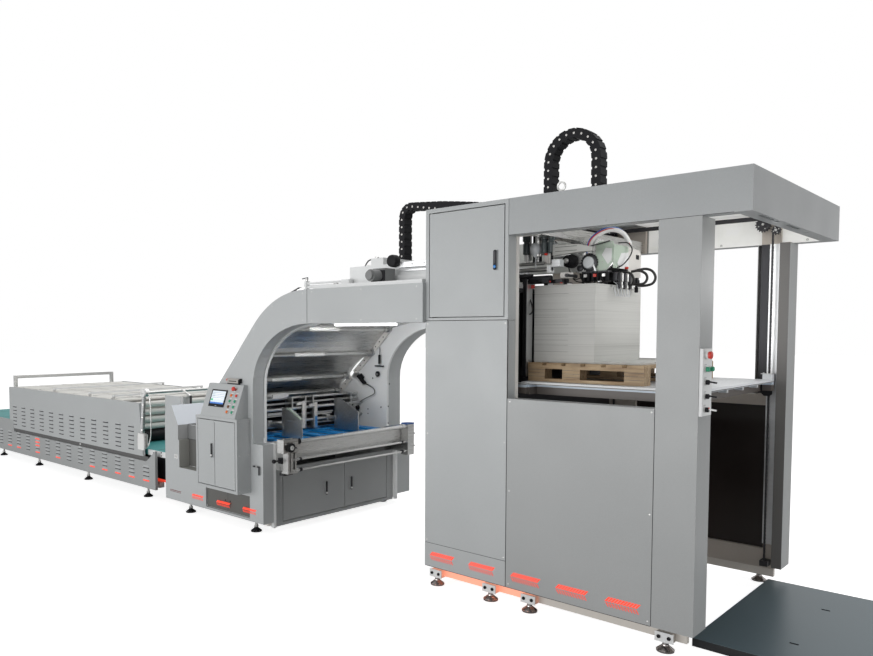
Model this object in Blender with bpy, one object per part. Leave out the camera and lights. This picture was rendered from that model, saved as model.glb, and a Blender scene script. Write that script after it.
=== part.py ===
"""Flute laminating machine: a sheet feeder tower, a laminating unit under an arch, and a belt delivery with a press section.

Metres. The machine's own frame, used by every number below: x = 0 at the tower's left side and growing towards
the loading end, y = 0 on the centre line with the working side at -y, z = 0 on the floor.
"""

import math

import bmesh
import bpy
from mathutils import Vector

GAP = 0.0003  # between pieces that seat on each other
RUN = 0.0003  # round a hinge pin
DOOR_GAP = 0.007  # round a flush door
JOINT = 0.003  # the open joint between two cover panels

# Feeder tower
CABINET_X = 0.700
POST_X = 1.695
POST_W = 0.240
POST_DEPTH = 0.195
SHEET = 0.004
SIDE = 0.935
COVER_DEEP = 0.0937
FRAME_T = 0.035
BASE_Z = 0.062
BASE_H = 0.056
SKIRT_Z = 0.320
PANEL_Z = 0.1453
SILL_Z = 1.416
SEAM_Z = 1.937
CANOPY_Z = 2.490
TOWER_Z = 2.730
ROOF = 0.030
CANOPY_T = 0.090
CANOPY_END = 2.189
FRAME_X = (0.030, 1.855)
COLUMN_X = 1.730
WINDOW_X = (0.800, 1.793)
WINDOW_Z = (0.260, 1.320)

POST_END = POST_X + POST_W
COVER_IN = SIDE - COVER_DEEP
FRAME_OUT = COVER_IN - GAP
FRAME_IN = FRAME_OUT - FRAME_T
POST_IN = SIDE - POST_DEPTH
FRAME_Z = BASE_Z + BASE_H + GAP
FRAME_TOP = TOWER_Z - ROOF - GAP

# Lift
CHAIN_INSET = 0.066  # from the frame's inner face to the chain
CHAIN_T = 0.016
LIFT_CLEAR = 0.040  # from the platform's edge to the chain
LIFT_X = (0.660, 1.860)
LIFT_Z = 1.517
LIFT_T = 0.020
LIFT_BEAM = 0.070
LEFT_X = 0.600
SHAFT_Z = 2.640
SPROCKET = 0.048
SPROCKET_AT = (1.757, 2.627)
GUIDE_R = 0.027
GUIDE_AT = (1.843, 2.580)

CHAIN_Y = FRAME_IN - CHAIN_INSET
LIFT_HALF = CHAIN_Y - LIFT_CLEAR

# Laminating unit
LAM_END = -3.472
PLATE_END = -3.660
LAM_FRONT = -1.845
LAM_SIDE = SIDE + 0.035
LAM_FAR = LAM_SIDE + 0.080
LAM_PLATE = LAM_SIDE - 0.120
LAM_PLATE_T = 0.030
LAM_Z = 0.1203
LAM_RAIL_Z = 0.085
TOE = (-1.879, 0.066)  # the white plate reaches lower at its front end
LAM_TOP = 1.193
STEP_Z = 0.840
ARCH_X = -1.2453
ARCH_WALL_X = -1.985
ARCH_IN_Z = 1.926
ARCH_OUT_Z = 2.210
ARCH_R = 0.950
ARCH_SPRING_Z = 1.363
PLATE_LIP = 0.012  # the white plate shows this far inside the cover's arch
DOOR_PLANE = -1.885
TABLE_Z = 0.820
BELT_T = 0.020

LAM_COVER_IN = LAM_PLATE + GAP
LAM_PLATE_IN = LAM_PLATE - LAM_PLATE_T
IN = LAM_PLATE_IN - GAP

# Delivery
DEL_END = -9.700
DEL_START = -3.815
DEL_SIDE = LAM_SIDE - 0.080
DEL_SHEET = 0.030
DEL_Z = 0.133
DEL_TOP = 0.590
BAND_Z = (0.430, 0.480)
PRESS_X = (-7.775, -4.138)
PRESS_Z = 1.064
DEL_BELT_Z = 0.557
DEL_FEET_X = (-9.500, -8.315, -7.055, -5.595, -4.155)

DEL_IN = DEL_SIDE - DEL_SHEET - GAP
PRESS_IN = DEL_IN - DEL_SHEET

# Console
CON_FRONT = LAM_SIDE + 0.155
CON_X = (-2.667, -2.020)
CON_Z = (0.390, 1.070)
CON_RIM = 0.028

LOAD_END = 3.250
X_MIN, X_MAX = DEL_END, LOAD_END
Y_MIN, Y_MAX = -(CON_FRONT + 0.012), LAM_FAR
SHIFT = Vector((-(X_MIN + X_MAX) / 2, -(Y_MIN + Y_MAX) / 2, 0.0))


def clear_scene():
    for old in list(bpy.data.objects):
        bpy.data.objects.remove(old, do_unlink=True)
    for old in list(bpy.data.materials):
        bpy.data.materials.remove(old)


clear_scene()
scene = bpy.context.scene
helpers = bpy.data.collections.new("helpers")
scene.collection.children.link(helpers)


def material(name, rgb, metallic=0.0, roughness=0.5):
    made = bpy.data.materials.new(name)
    made.use_nodes = True
    shader = made.node_tree.nodes["Principled BSDF"]
    shader.inputs["Base Color"].default_value = (*rgb, 1.0)
    shader.inputs["Metallic"].default_value = metallic
    shader.inputs["Roughness"].default_value = roughness
    return made


def empty(name, at, parent=None):
    made = bpy.data.objects.new(name, None)
    made.empty_display_size = 0.2
    scene.collection.objects.link(made)
    made.parent = parent
    made["at"] = list(at)
    made.location = Vector(at) - (Vector(parent["at"]) if parent else Vector())
    return made


machine = empty("machine", (0, 0, 0))
machine.location = SHIFT


# Shapes: each returns (points, faces), faces turned outwards


def fix(points, faces):
    mesh = bmesh.new()
    made = [mesh.verts.new(p) for p in points]
    for face in faces:
        mesh.faces.new([made[i] for i in face])
    bmesh.ops.recalc_face_normals(mesh, faces=mesh.faces)
    if mesh.calc_volume(signed=True) < 0:
        bmesh.ops.reverse_faces(mesh, faces=mesh.faces)
    mesh.verts.index_update()
    out = ([tuple(v.co) for v in mesh.verts], [[v.index for v in f.verts] for f in mesh.faces])
    mesh.free()
    return out


def box(x0, x1, y0, y1, z0, z1):
    points = [(x, y, z) for z in (z0, z1) for y in (y0, y1) for x in (x0, x1)]
    return points, [[0, 2, 3, 1], [4, 5, 7, 6], [0, 1, 5, 4], [2, 6, 7, 3], [0, 4, 6, 2], [1, 3, 7, 5]]


def lay(axis, a, b, at):
    """A point from its place in the profile (a, b) and along the axis."""
    return {"x": (at, a, b), "y": (a, at, b), "z": (a, b, at)}[axis]


def prism(axis, profile, start, end):
    count = len(profile)
    points = [lay(axis, a, b, start) for a, b in profile] + [lay(axis, a, b, end) for a, b in profile]
    faces = [list(range(count)), list(range(2 * count - 1, count - 1, -1))]
    faces += [[i, (i + 1) % count, count + (i + 1) % count, count + i] for i in range(count)]
    return fix(points, faces)


def circle(a, b, r, count=16, turn=0.0):
    return [
        (a + r * math.cos(2 * math.pi * (i + turn) / count), b + r * math.sin(2 * math.pi * (i + turn) / count))
        for i in range(count)
    ]


def rod(axis, a, b, r, start, end, count=16):
    return prism(axis, circle(a, b, r, count), start, end)


def bar(p, q, wide, high, up=(0, 0, 1)):
    """A flat bar from p to q, wide across and high along `up`."""
    p, q = Vector(p), Vector(q)
    along = (q - p).normalized()
    across = along.cross(Vector(up)).normalized()
    over = across.cross(along)
    points = [tuple(e + across * s * wide / 2 + over * t * high / 2) for e in (p, q) for s, t in ((-1, -1), (1, -1), (1, 1), (-1, 1))]
    return fix(points, [[0, 1, 2, 3], [7, 6, 5, 4], [0, 4, 5, 1], [1, 5, 6, 2], [2, 6, 7, 3], [3, 7, 4, 0]])


def tube(path, r, count=10):
    """A round tube along a path that bends."""
    path = [Vector(p) for p in path]
    rings = []
    side = None
    for i, p in enumerate(path):
        along = (path[min(i + 1, len(path) - 1)] - path[max(i - 1, 0)]).normalized()
        if side is None:
            side = along.cross(Vector((0, 0, 1)))
            if side.length < 0.1:
                side = along.cross(Vector((0, 1, 0)))
        side = (side - along * side.dot(along)).normalized()
        other = along.cross(side)
        rings.append(
            [tuple(p + r * (side * math.cos(2 * math.pi * k / count) + other * math.sin(2 * math.pi * k / count))) for k in range(count)]
        )
    points = [p for ring in rings for p in ring]
    faces = [list(range(count)), [len(points) - 1 - k for k in range(count)]]
    for i in range(len(rings) - 1):
        for k in range(count):
            faces.append([i * count + k, i * count + (k + 1) % count, (i + 1) * count + (k + 1) % count, (i + 1) * count + k])
    return fix(points, faces)


def joined(shapes):
    """Shapes that don't touch, in one helper."""
    points, faces = [], []
    for p, f in shapes:
        faces += [[i + len(points) for i in face] for face in f]
        points += p
    return points, faces


def arc(a, b, ra, rb, start, end, count):
    """Points on a quarter or part of an ellipse, from start to end in degrees."""
    return [
        (
            a + ra * math.cos(math.radians(start + (end - start) * i / count)),
            b + rb * math.sin(math.radians(start + (end - start) * i / count)),
        )
        for i in range(count + 1)
    ]


def mesh_object(name, shape, at):
    mesh = bpy.data.meshes.new(name)
    points, faces = shape
    mesh.from_pydata([tuple(Vector(p) - at) for p in points], [], faces)
    mesh.update()
    return bpy.data.objects.new(name, mesh)


def node(name, at, shapes, look, parent=None, cuts=()):
    """One solid: the first shape with the others fused to it and the cuts taken out."""
    at = Vector(at)
    parent = parent or machine
    made = mesh_object(name, shapes[0], at)
    scene.collection.objects.link(made)
    made.parent = parent
    made.location = at - Vector(parent["at"])
    made.data.materials.append(look)
    for kind, operation, group in (("add", "UNION", shapes[1:]), ("cut", "DIFFERENCE", cuts)):
        if not group:
            continue
        held = bpy.data.collections.new(f"{name}_{kind}")
        helpers.children.link(held)
        for i, shape in enumerate(group):
            piece = mesh_object(f"{name}_{kind}_{i}", shape, at)
            piece.hide_render = True
            piece.display_type = "WIRE"
            piece.parent = made
            held.objects.link(piece)
        change = made.modifiers.new(kind, "BOOLEAN")
        change.operation = operation
        change.operand_type = "COLLECTION"
        change.collection = held
        change.solver = "EXACT"
    return made


def mirrored(shape):
    """The same shape on the far side."""
    points, faces = shape
    return [(x, -y, z) for x, y, z in points], [list(reversed(f)) for f in faces]


def turned(x, y, profile, count=10):
    """A revolve about the vertical through (x, y) of (radius, height) points, bottom first."""
    points, faces = [], []
    for r, z in profile:
        points += [(x + a, y + b, z) for a, b in circle(0, 0, r, count)]
    faces = [list(range(count)), [len(points) - 1 - k for k in range(count)]]
    for i in range(len(profile) - 1):
        for k in range(count):
            faces.append([i * count + k, i * count + (k + 1) % count, (i + 1) * count + (k + 1) % count, (i + 1) * count + k])
    return fix(points, faces)


FOOT_R, STEM_R = 0.050, 0.012


def foot(x, y, top):
    """A levelling foot: disc with a dished top, and its stem."""
    return turned(x, y, [(FOOT_R, 0), (FOOT_R, 0.012), (FOOT_R - 0.012, 0.018), (STEM_R + 0.006, 0.034), (STEM_R, 0.036), (STEM_R, top)])


def both(low, high, make):
    """The shape made for the near and for the far side, between two distances from the centre line."""
    return [make(*sorted((s * low, s * high))) for s in (-1, 1)]


def links(path, half, waist, pitch):
    """The outline of a cable carrier along a path: links of full width with a narrower waist between them."""
    path = [Vector(p) for p in path]
    runs = [0.0]
    for p, q in zip(path, path[1:]):
        runs.append(runs[-1] + (q - p).length)
    count = round(runs[-1] / pitch)
    pitch = runs[-1] / count

    def at(run):
        run = min(max(run, 0.0), runs[-1])
        i = max(k for k in range(len(path) - 1) if runs[k] <= run + 1e-9)
        along = (path[i + 1] - path[i]).normalized()
        return path[i] + along * (run - runs[i]), Vector((-along.y, along.x))

    left, right = [], []
    for k in range(count):
        for share, wide in ((0.02, half), (0.70, half), (0.74, waist), (0.98, waist)):
            if k == count - 1 and share > 0.72:
                break
            p, across = at((k + share) * pitch if k or share > 0.1 else 0.0)
            left.append(tuple(p + across * wide))
            right.append(tuple(p - across * wide))
    return left + right[::-1]


grey = material("silver_grey_paint", (0.60, 0.62, 0.63), 0.1, 0.45)
dark_grey = material("recess_grey_paint", (0.30, 0.31, 0.32), 0.1, 0.5)
white = material("white_paint", (0.85, 0.86, 0.86), 0.0, 0.45)
beam = material("base_paint", (0.62, 0.58, 0.55), 0.1, 0.5)
steel = material("stainless", (0.72, 0.73, 0.74), 0.9, 0.3)
dark = material("dark_steel", (0.06, 0.06, 0.065), 0.5, 0.45)
black = material("black_plastic", (0.03, 0.03, 0.03), 0.0, 0.5)
blue = material("blue_belt", (0.03, 0.22, 0.55), 0.0, 0.6)
teal = material("teal_belt", (0.10, 0.42, 0.40), 0.0, 0.6)
cream = material("cream_belt", (0.80, 0.77, 0.66), 0.0, 0.7)
wood = material("pallet_wood", (0.62, 0.45, 0.27), 0.0, 0.8)
paper = material("sheet_pile", (0.80, 0.80, 0.79), 0.0, 0.8)
plate_blue = material("platform_plate", (0.05, 0.07, 0.10), 0.3, 0.5)
lift_paint = material("lift_paint", (0.70, 0.78, 0.84), 0.1, 0.4)
brown = material("dark_inner_panel", (0.07, 0.05, 0.045), 0.0, 0.6)


# Feeder tower

RAIL_TOP = BASE_Z + BASE_H
FOOT_Y = FRAME_OUT + 0.024
rails = both(FRAME_IN, FRAME_OUT, lambda a, b: box(0.020, FRAME_X[1] + 0.013, a, b, BASE_Z, RAIL_TOP))
rails += [box(x, x + 0.080, -FRAME_IN - 0.010, FRAME_IN + 0.010, BASE_Z + 0.004, RAIL_TOP - 0.004) for x in (0.040, 0.600)]
for x in (0.065, 0.535, 0.845, 1.755):
    rails += [foot(x, s * FOOT_Y, RAIL_TOP - 0.012) for s in (-1, 1)]
    rails += both(FRAME_OUT - 0.010, FOOT_Y + 0.020, lambda a, b: box(x - 0.045, x + 0.045, a, b, BASE_Z - 0.007, RAIL_TOP - 0.006))
node("feeder_base", (0.9, 0, BASE_Z), rails, beam)

for s, word in ((-1, "near"), (1, "far")):
    outline = [
        (FRAME_X[0], FRAME_Z), (FRAME_X[1] + 0.013, FRAME_Z), (FRAME_X[1] + 0.013, WINDOW_Z[0]), (FRAME_X[1], WINDOW_Z[0]),
        (FRAME_X[1], FRAME_TOP), (COLUMN_X, FRAME_TOP), (COLUMN_X, SILL_Z - 0.016), (CABINET_X, SILL_Z - 0.016),
        (CABINET_X, CANOPY_Z), (CABINET_X + 0.160, CANOPY_Z), (CABINET_X + 0.160, FRAME_TOP), (FRAME_X[0], FRAME_TOP),
    ]
    low, high = sorted((s * FRAME_OUT, s * FRAME_IN))
    node(
        f"feeder_frame_{word}", (0.35, s * FRAME_OUT, FRAME_Z), [prism("y", outline, low, high)], white,
        cuts=[box(*WINDOW_X, low - 0.01, high + 0.01, *WINDOW_Z)],
    )
    low, high = sorted((s * FRAME_OUT, s * (FRAME_OUT - SHEET)))
    node(
        f"inner_panel_{word}", (1.3, s * FRAME_OUT, WINDOW_Z[0]),
        [box(WINDOW_X[0] + GAP, WINDOW_X[1] - GAP, low, high, WINDOW_Z[0] + GAP, WINDOW_Z[1] - GAP)], brown,
    )
    # A bent-sheet channel, open towards the machine
    channel = [
        (POST_X, COVER_IN), (POST_X, SIDE), (POST_END, SIDE), (POST_END, POST_IN), (FRAME_X[1] + 0.0133, POST_IN),
        (FRAME_X[1] + 0.0133, POST_IN + SHEET), (POST_END - SHEET, POST_IN + SHEET), (POST_END - SHEET, SIDE - SHEET),
        (POST_X + SHEET, SIDE - SHEET), (POST_X + SHEET, COVER_IN),
    ]
    node(
        f"post_{word}", (POST_END, s * SIDE, PANEL_Z),
        [prism("z", [(x, s * y) for x, y in channel], PANEL_Z, CANOPY_Z - GAP)], grey,
    )

CONTROL_Y = (-SIDE + 0.004, -POST_IN - 0.048)
CONTROL_Z = (1.392, 1.765)
KNOB_Y = CONTROL_Y[0] + 0.041
node(
    "post_controls", (POST_END, CONTROL_Y[0], CONTROL_Z[0]),
    [box(POST_END + GAP, POST_END + 0.018, *CONTROL_Y, *CONTROL_Z)]
    + [rod("x", KNOB_Y, z, r, POST_END + 0.010, POST_END + 0.018 + out, 14)
       for z, r, out in ((1.730, 0.020, 0.026), (1.652, 0.013, 0.018), (1.580, 0.013, 0.014), (1.502, 0.013, 0.014), (1.428, 0.013, 0.010))],
    grey,
)

SEAM = 0.003
node(
    "feeder_cover_near", (0.35, -SIDE, SKIRT_Z), [box(0, CABINET_X - JOINT, -SIDE, -COVER_IN, PANEL_Z, SEAM_Z - JOINT)], grey,
    cuts=[box(-0.01, CABINET_X + 0.01, -SIDE - 0.01, -SIDE + 0.006, SKIRT_Z - SEAM / 2, SKIRT_Z + SEAM / 2)],
)
node("feeder_panel_near", (1.2, -SIDE, PANEL_Z), [box(CABINET_X, POST_X - JOINT, -SIDE, -COVER_IN, PANEL_Z, SILL_Z)], grey)
far_outline = [(0, PANEL_Z), (POST_X - JOINT, PANEL_Z), (POST_X - JOINT, SILL_Z), (CABINET_X - JOINT, SILL_Z), (CABINET_X - JOINT, TOWER_Z), (0, TOWER_Z)]
node("feeder_cover_far", (0.35, SIDE, PANEL_Z), [prism("y", far_outline, COVER_IN, SIDE)], grey)

# The upper cabinet is a tray with a flush door hinged on its left
UP_X = (0.029, 0.671)
UP_Z = (SEAM_Z + 0.019, TOWER_Z - 0.029)
UP_BACK = -COVER_IN - 0.016
LEAF = 0.018
PIN = 0.004
PIN_IN = 0.014  # from the leaf's hinged edge to its pin
PIN_DEEP = 0.006  # from the leaf's front to its pin


def leaf(axis, spread, heights, front, turn, hinge_low, pin_reach=0.017):
    """A flush leaf with two pins. `axis` is the way it faces, `spread` its opening, `turn` the sign of its front."""
    a0, a1 = spread[0] + DOOR_GAP, spread[1] - DOOR_GAP
    z0, z1 = heights[0] + DOOR_GAP, heights[1] - DOOR_GAP
    low, high = sorted((front, front - turn * LEAF))
    hinge = a0 + PIN_IN if hinge_low else a1 - PIN_IN
    deep = front - turn * PIN_DEEP
    across = axis == "y"
    slab = box(a0, a1, low, high, z0, z1) if across else box(low, high, a0, a1, z0, z1)
    at = (hinge, deep, z0) if across else (deep, hinge, z0)
    pins = [rod("z", at[0], at[1], PIN, a, b, 12) for a, b in ((z0 - pin_reach, z0 + 0.02), (z1 - 0.02, z1 + pin_reach))]
    return [slab] + pins, at


def pin_holes(at, heights, reach=0.012):
    x, y, _ = at
    return [
        rod("z", x, y, PIN + RUN, heights[0] - reach, heights[0] + 0.003, 12),
        rod("z", x, y, PIN + RUN, heights[1] - 0.003, heights[1] + reach, 12),
    ]


LOCK = (0.026, 0.012, 0.130)  # width, how far it stands out, length
door, hinge_at = leaf("y", UP_X, UP_Z, -SIDE, -1, True)
node(
    "feeder_upper_cabinet", (0.35, -SIDE, SEAM_Z), [box(0, CABINET_X - JOINT, -SIDE, -COVER_IN, SEAM_Z, TOWER_Z)], grey,
    cuts=[box(*UP_X, -SIDE - 0.05, UP_BACK, *UP_Z)] + pin_holes(hinge_at, UP_Z),
)
hinge = empty("feeder_upper_door_axis", hinge_at, machine)
door.append(box(UP_X[1] - 0.084, UP_X[1] - 0.084 + LOCK[0], -SIDE - LOCK[1], -SIDE + 0.004, 2.270, 2.270 + LOCK[2]))
node("feeder_upper_door", hinge_at, door, grey, hinge)

# Canopy: a fascia on three sides, hung from the roof plate
CANOPY_IN = SIDE - CANOPY_T
fascia = [
    (CABINET_X, -SIDE), (CANOPY_END, -SIDE), (CANOPY_END, SIDE), (CABINET_X, SIDE), (CABINET_X, CANOPY_IN),
    (CANOPY_END - CANOPY_T, CANOPY_IN), (CANOPY_END - CANOPY_T, -CANOPY_IN), (CABINET_X, -CANOPY_IN),
]
SLOT = (CANOPY_END - CANOPY_T + 0.050, CANOPY_END - 0.018)
node(
    "canopy_fascia", (CANOPY_END, 0, CANOPY_Z), [prism("z", fascia, CANOPY_Z, TOWER_Z)], grey,
    cuts=[box(*SLOT, a, b, CANOPY_Z - 0.01, CANOPY_Z + 0.020) for a, b in ((-0.725, -0.460), (-0.440, -0.370), (-0.220, 0.050))],
)
roof_half = CANOPY_IN - GAP
roof_end = CANOPY_END - CANOPY_T - GAP
roof_outline = [
    (0, -FRAME_OUT), (CABINET_X, -FRAME_OUT), (CABINET_X, -roof_half), (roof_end, -roof_half),
    (roof_end, roof_half), (CABINET_X, roof_half), (CABINET_X, FRAME_OUT), (0, FRAME_OUT),
]
node("tower_roof", (1.1, 0, TOWER_Z), [prism("z", roof_outline, TOWER_Z - ROOF, TOWER_Z)], grey)

# Lift drive under the roof: a cross shaft at the left, chain wheels at the right, and a chain at each corner
BAR_IN = CHAIN_Y - 0.028
drive = [rod("y", LEFT_X, SHAFT_Z, 0.020, -FRAME_IN + GAP, FRAME_IN - GAP)]
chain_z = (WINDOW_Z[0] - 0.110, WINDOW_Z[0] - 0.070)
guide_left = GUIDE_AT[0] - GUIDE_R
left_chain = LEFT_X + SPROCKET - 0.010
drive += both(BAR_IN, CHAIN_Y - 0.006, lambda a, b: box(LEFT_X, SPROCKET_AT[0], a, b, SHAFT_Z + 0.015, SHAFT_Z + 0.045))
drive += both(CHAIN_Y - 0.010, CHAIN_Y + 0.010, lambda a, b: rod("y", LEFT_X, SHAFT_Z, SPROCKET, a, b, 16))
drive += both(CHAIN_Y - 0.010, CHAIN_Y + 0.010, lambda a, b: rod("y", *SPROCKET_AT, SPROCKET, a, b, 18))
drive += both(CHAIN_Y - 0.010, CHAIN_Y + 0.010, lambda a, b: rod("y", *GUIDE_AT, GUIDE_R, a, b, 16))
drive += both(CHAIN_Y, FRAME_IN - GAP, lambda a, b: rod("y", *SPROCKET_AT, 0.018, a, b, 12))
drive += both(CHAIN_Y, FRAME_IN - GAP, lambda a, b: rod("y", *GUIDE_AT, 0.010, a, b, 12))
run = [
    (SPROCKET_AT[0] + 0.003, SPROCKET_AT[1] + 0.037), (SPROCKET_AT[0] + 0.006, SPROCKET_AT[1] + SPROCKET),
    (GUIDE_AT[0] + 0.018, GUIDE_AT[1] + 0.022), (GUIDE_AT[0] + 0.010, GUIDE_AT[1] + 0.015),
]
drive += both(CHAIN_Y - CHAIN_T / 2, CHAIN_Y + CHAIN_T / 2, lambda a, b: prism("y", run, a, b))
for x, top in ((left_chain, SHAFT_Z), (guide_left, GUIDE_AT[1])):
    drive += both(CHAIN_Y - CHAIN_T / 2, CHAIN_Y + CHAIN_T / 2, lambda a, b: box(x, x + 0.010, a, b, chain_z[1] - 0.010, top))
    drive += both(CHAIN_Y - 0.015, FRAME_IN - GAP, lambda a, b: box(x - 0.022, x + 0.032, a, b, *chain_z))
node("lift_drive", (1.2, 0, SHAFT_Z), drive, dark)

lift_axis = empty("lift_slide", ((LIFT_X[0] + LIFT_X[1]) / 2, 0, LIFT_Z), machine)
under = LIFT_Z - LIFT_T
lift = [box(*LIFT_X, -LIFT_HALF, LIFT_HALF, under, LIFT_Z)]
lift += both(LIFT_HALF - 0.140, LIFT_HALF - 0.100, lambda a, b: box(LIFT_X[0] + 0.040, LIFT_X[1] - 0.080, a, b, under - LIFT_BEAM, under + 0.005))
lift += [box(x, x + 0.040, -LIFT_HALF + 0.005, LIFT_HALF - 0.005, under - LIFT_BEAM + 0.004, under + 0.005) for x in (LIFT_X[0] + 0.020, LIFT_X[1] - 0.120)]
lug = CHAIN_Y - CHAIN_T / 2 - GAP
lift += both(LIFT_HALF - 0.020, lug, lambda a, b: box(left_chain - 0.004, LIFT_X[0] + 0.050, a, b, under - 0.060, under + 0.012))
lift += both(LIFT_HALF - 0.020, lug, lambda a, b: box(guide_left - 0.022, LIFT_X[1] - 0.004, a, b, under - 0.060, LIFT_Z + 0.036))
node("lift_platform", ((LIFT_X[0] + LIFT_X[1]) / 2, 0, LIFT_Z), lift, lift_paint, lift_axis)

PAL_X, PAL_HALF, PAL_H = (0.650, 1.480), 0.600, 0.128
PAL_BLOCKS = ((0.650, 0.780), (0.913, 1.043), (1.350, 1.480))
BOARD = 0.100
pal_z = LIFT_Z + GAP
pal_top = pal_z + PAL_H
rows = (-PAL_HALF, -BOARD / 2, PAL_HALF - BOARD)
boards = [box(*PAL_X, y, y + BOARD, pal_z, pal_z + 0.020) for y in rows]
boards += [box(*PAL_X, y, y + BOARD, pal_top - 0.040, pal_top - 0.018) for y in rows]
boards += [box(a, b, y + 0.002, y + BOARD - 0.002, pal_z + 0.010, pal_top - 0.030) for a, b in PAL_BLOCKS for y in rows]
pitch = (PAL_X[1] - PAL_X[0] - 0.110) / 5
boards += [box(PAL_X[0] + i * pitch, PAL_X[0] + i * pitch + 0.110, -PAL_HALF, PAL_HALF, pal_top - 0.020, pal_top) for i in range(6)]
node("pallet", (1.075, 0, pal_z), boards, wood, lift_axis)
PILE_X, PILE_Y, PILE_TOP = (0.640, 1.100), (-0.510, 0.190), 2.180
node(
    "sheet_pile", (0.87, -0.16, pal_top),
    [box(PAL_X[0], 1.420, PILE_Y[0] - 0.010, 0.560, pal_top + GAP, pal_top + 0.010), box(*PILE_X, *PILE_Y, pal_top + 0.005, PILE_TOP)],
    paper, lift_axis,
)

# Feeder head on a cross beam, and the front lay with its deck
node(
    "feeder_head", (0.98, 0, 2.3),
    [
        box(0.740, 0.840, -FRAME_IN + GAP, FRAME_IN - GAP, 2.500, 2.579),
        prism("y", [(0.800, 2.300), (0.860, 2.270), (1.060, 2.270), (1.120, 2.320), (1.120, 2.430), (1.000, 2.520), (0.800, 2.520)], -0.300, 0.130),
    ]
    + [rod("z", x, y, r, a, b, 12) for y in (-0.210, 0.050) for x in (0.890, 1.010) for r, a, b in ((0.010, 2.215, 2.290), (0.024, 2.195, 2.222))],
    steel,
)
node(
    "front_lay", (0.5, 0, 2.0),
    [
        box(0.300, 0.400, -FRAME_IN + GAP, FRAME_IN - GAP, 2.060, 2.140),
        box(0.350, 0.610, -FRAME_IN + 0.156, FRAME_IN - 0.156, 2.130, 2.160),
        box(0.560, 0.572, -FRAME_IN + GAP, FRAME_IN - GAP, 0.300, 2.140),
    ]
    + [box(0.604, 0.630, y - 0.045, y + 0.045, 1.540, 2.230) for y in (-0.560, -0.280, 0.0, 0.280, 0.560)],
    dark,
)

# Loading plate on the floor
PLATE_Y = (-SIDE + 0.245, SIDE - 0.159)
node(
    "loading_platform", (2.5, 0.04, 0), [box(FRAME_X[1] - 0.012, LOAD_END, *PLATE_Y, 0, 0.050)], plate_blue,
    cuts=[box(2.280, 2.330, y - 0.010, y + 0.010, 0.038, 0.060) for y in (-0.373, 0.357)],
)

# Cable carriers
LINK, HALF, WAIST = 0.062, 0.038, 0.031
over = (0.855 - 0.466) / 2
centre = 0.466 + over
loop = [(0.466, TOWER_Z + GAP), (0.466, 3.128)] + arc(centre, 3.128, over, over, 180, 0, 14)[1:] + [(0.855, TOWER_Z + GAP)]
node("cable_carrier_feeder", (0.67, 0, TOWER_Z), [prism("y", links(loop, HALF, WAIST, LINK), -0.050, 0.050)], black)

DECK_Z = ARCH_OUT_Z + GAP
CROSS_Z = DECK_Z + 0.2595
B_HALF, B_WAIST = 0.032, 0.026
TURN = 0.090
level = 2.922
B_SAG = 0.100
sweep = [(-0.830, CROSS_Z + GAP), (-0.830, level - TURN)] + arc(-0.830 + TURN, level - TURN, TURN, TURN, 180, 90, 6)[1:] + [(0.100 - 0.840 * (1 - t), level - B_SAG * t ** 1.4) for t in (0.4, 0.6, 0.8, 1.0)]
node(
    "cable_carrier_bridge", (-0.4, -0.2, 2.9),
    [prism("y", links(sweep, B_HALF, B_WAIST, LINK), -0.250, -0.150), box(0.030, 0.090, -0.240, -0.160, TOWER_Z + GAP, level - B_SAG)], black,
)

# Laminating unit
rail_in = LAM_PLATE_IN + 0.0005
base = both(rail_in, LAM_SIDE - 0.085, lambda a, b: box(LAM_END + 0.032, DOOR_PLANE + 0.005, a, b, LAM_RAIL_Z, LAM_Z - GAP))
base += [box(x, x + 0.100, -rail_in - 0.020, rail_in + 0.020, LAM_RAIL_Z + 0.002, LAM_Z - 0.0023) for x in (LAM_END + 0.032, -2.700, -2.080)]
LAM_FOOT_Y = LAM_PLATE + 0.015
base += [foot(x, s * LAM_FOOT_Y, LAM_Z - 0.010) for s in (-1, 1) for x in (-3.168, -2.083)]
node("laminator_base", (-2.6, 0, 0.1), base, beam)

# The arch, drawn once: outer curve, inner curve with a growing lip for the white plate
arch_out = arc(-1.280, ARCH_OUT_Z - ARCH_R, ARCH_R, ARCH_R, 90, 135.5, 12)


def arch_in(lip):
    return [(LAM_FRONT, STEP_Z), (ARCH_WALL_X + lip, STEP_Z)] + arc(
        ARCH_X, ARCH_SPRING_Z, ARCH_X - ARCH_WALL_X - lip, ARCH_IN_Z - ARCH_SPRING_Z - lip, 180, 90, 12
    )


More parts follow.
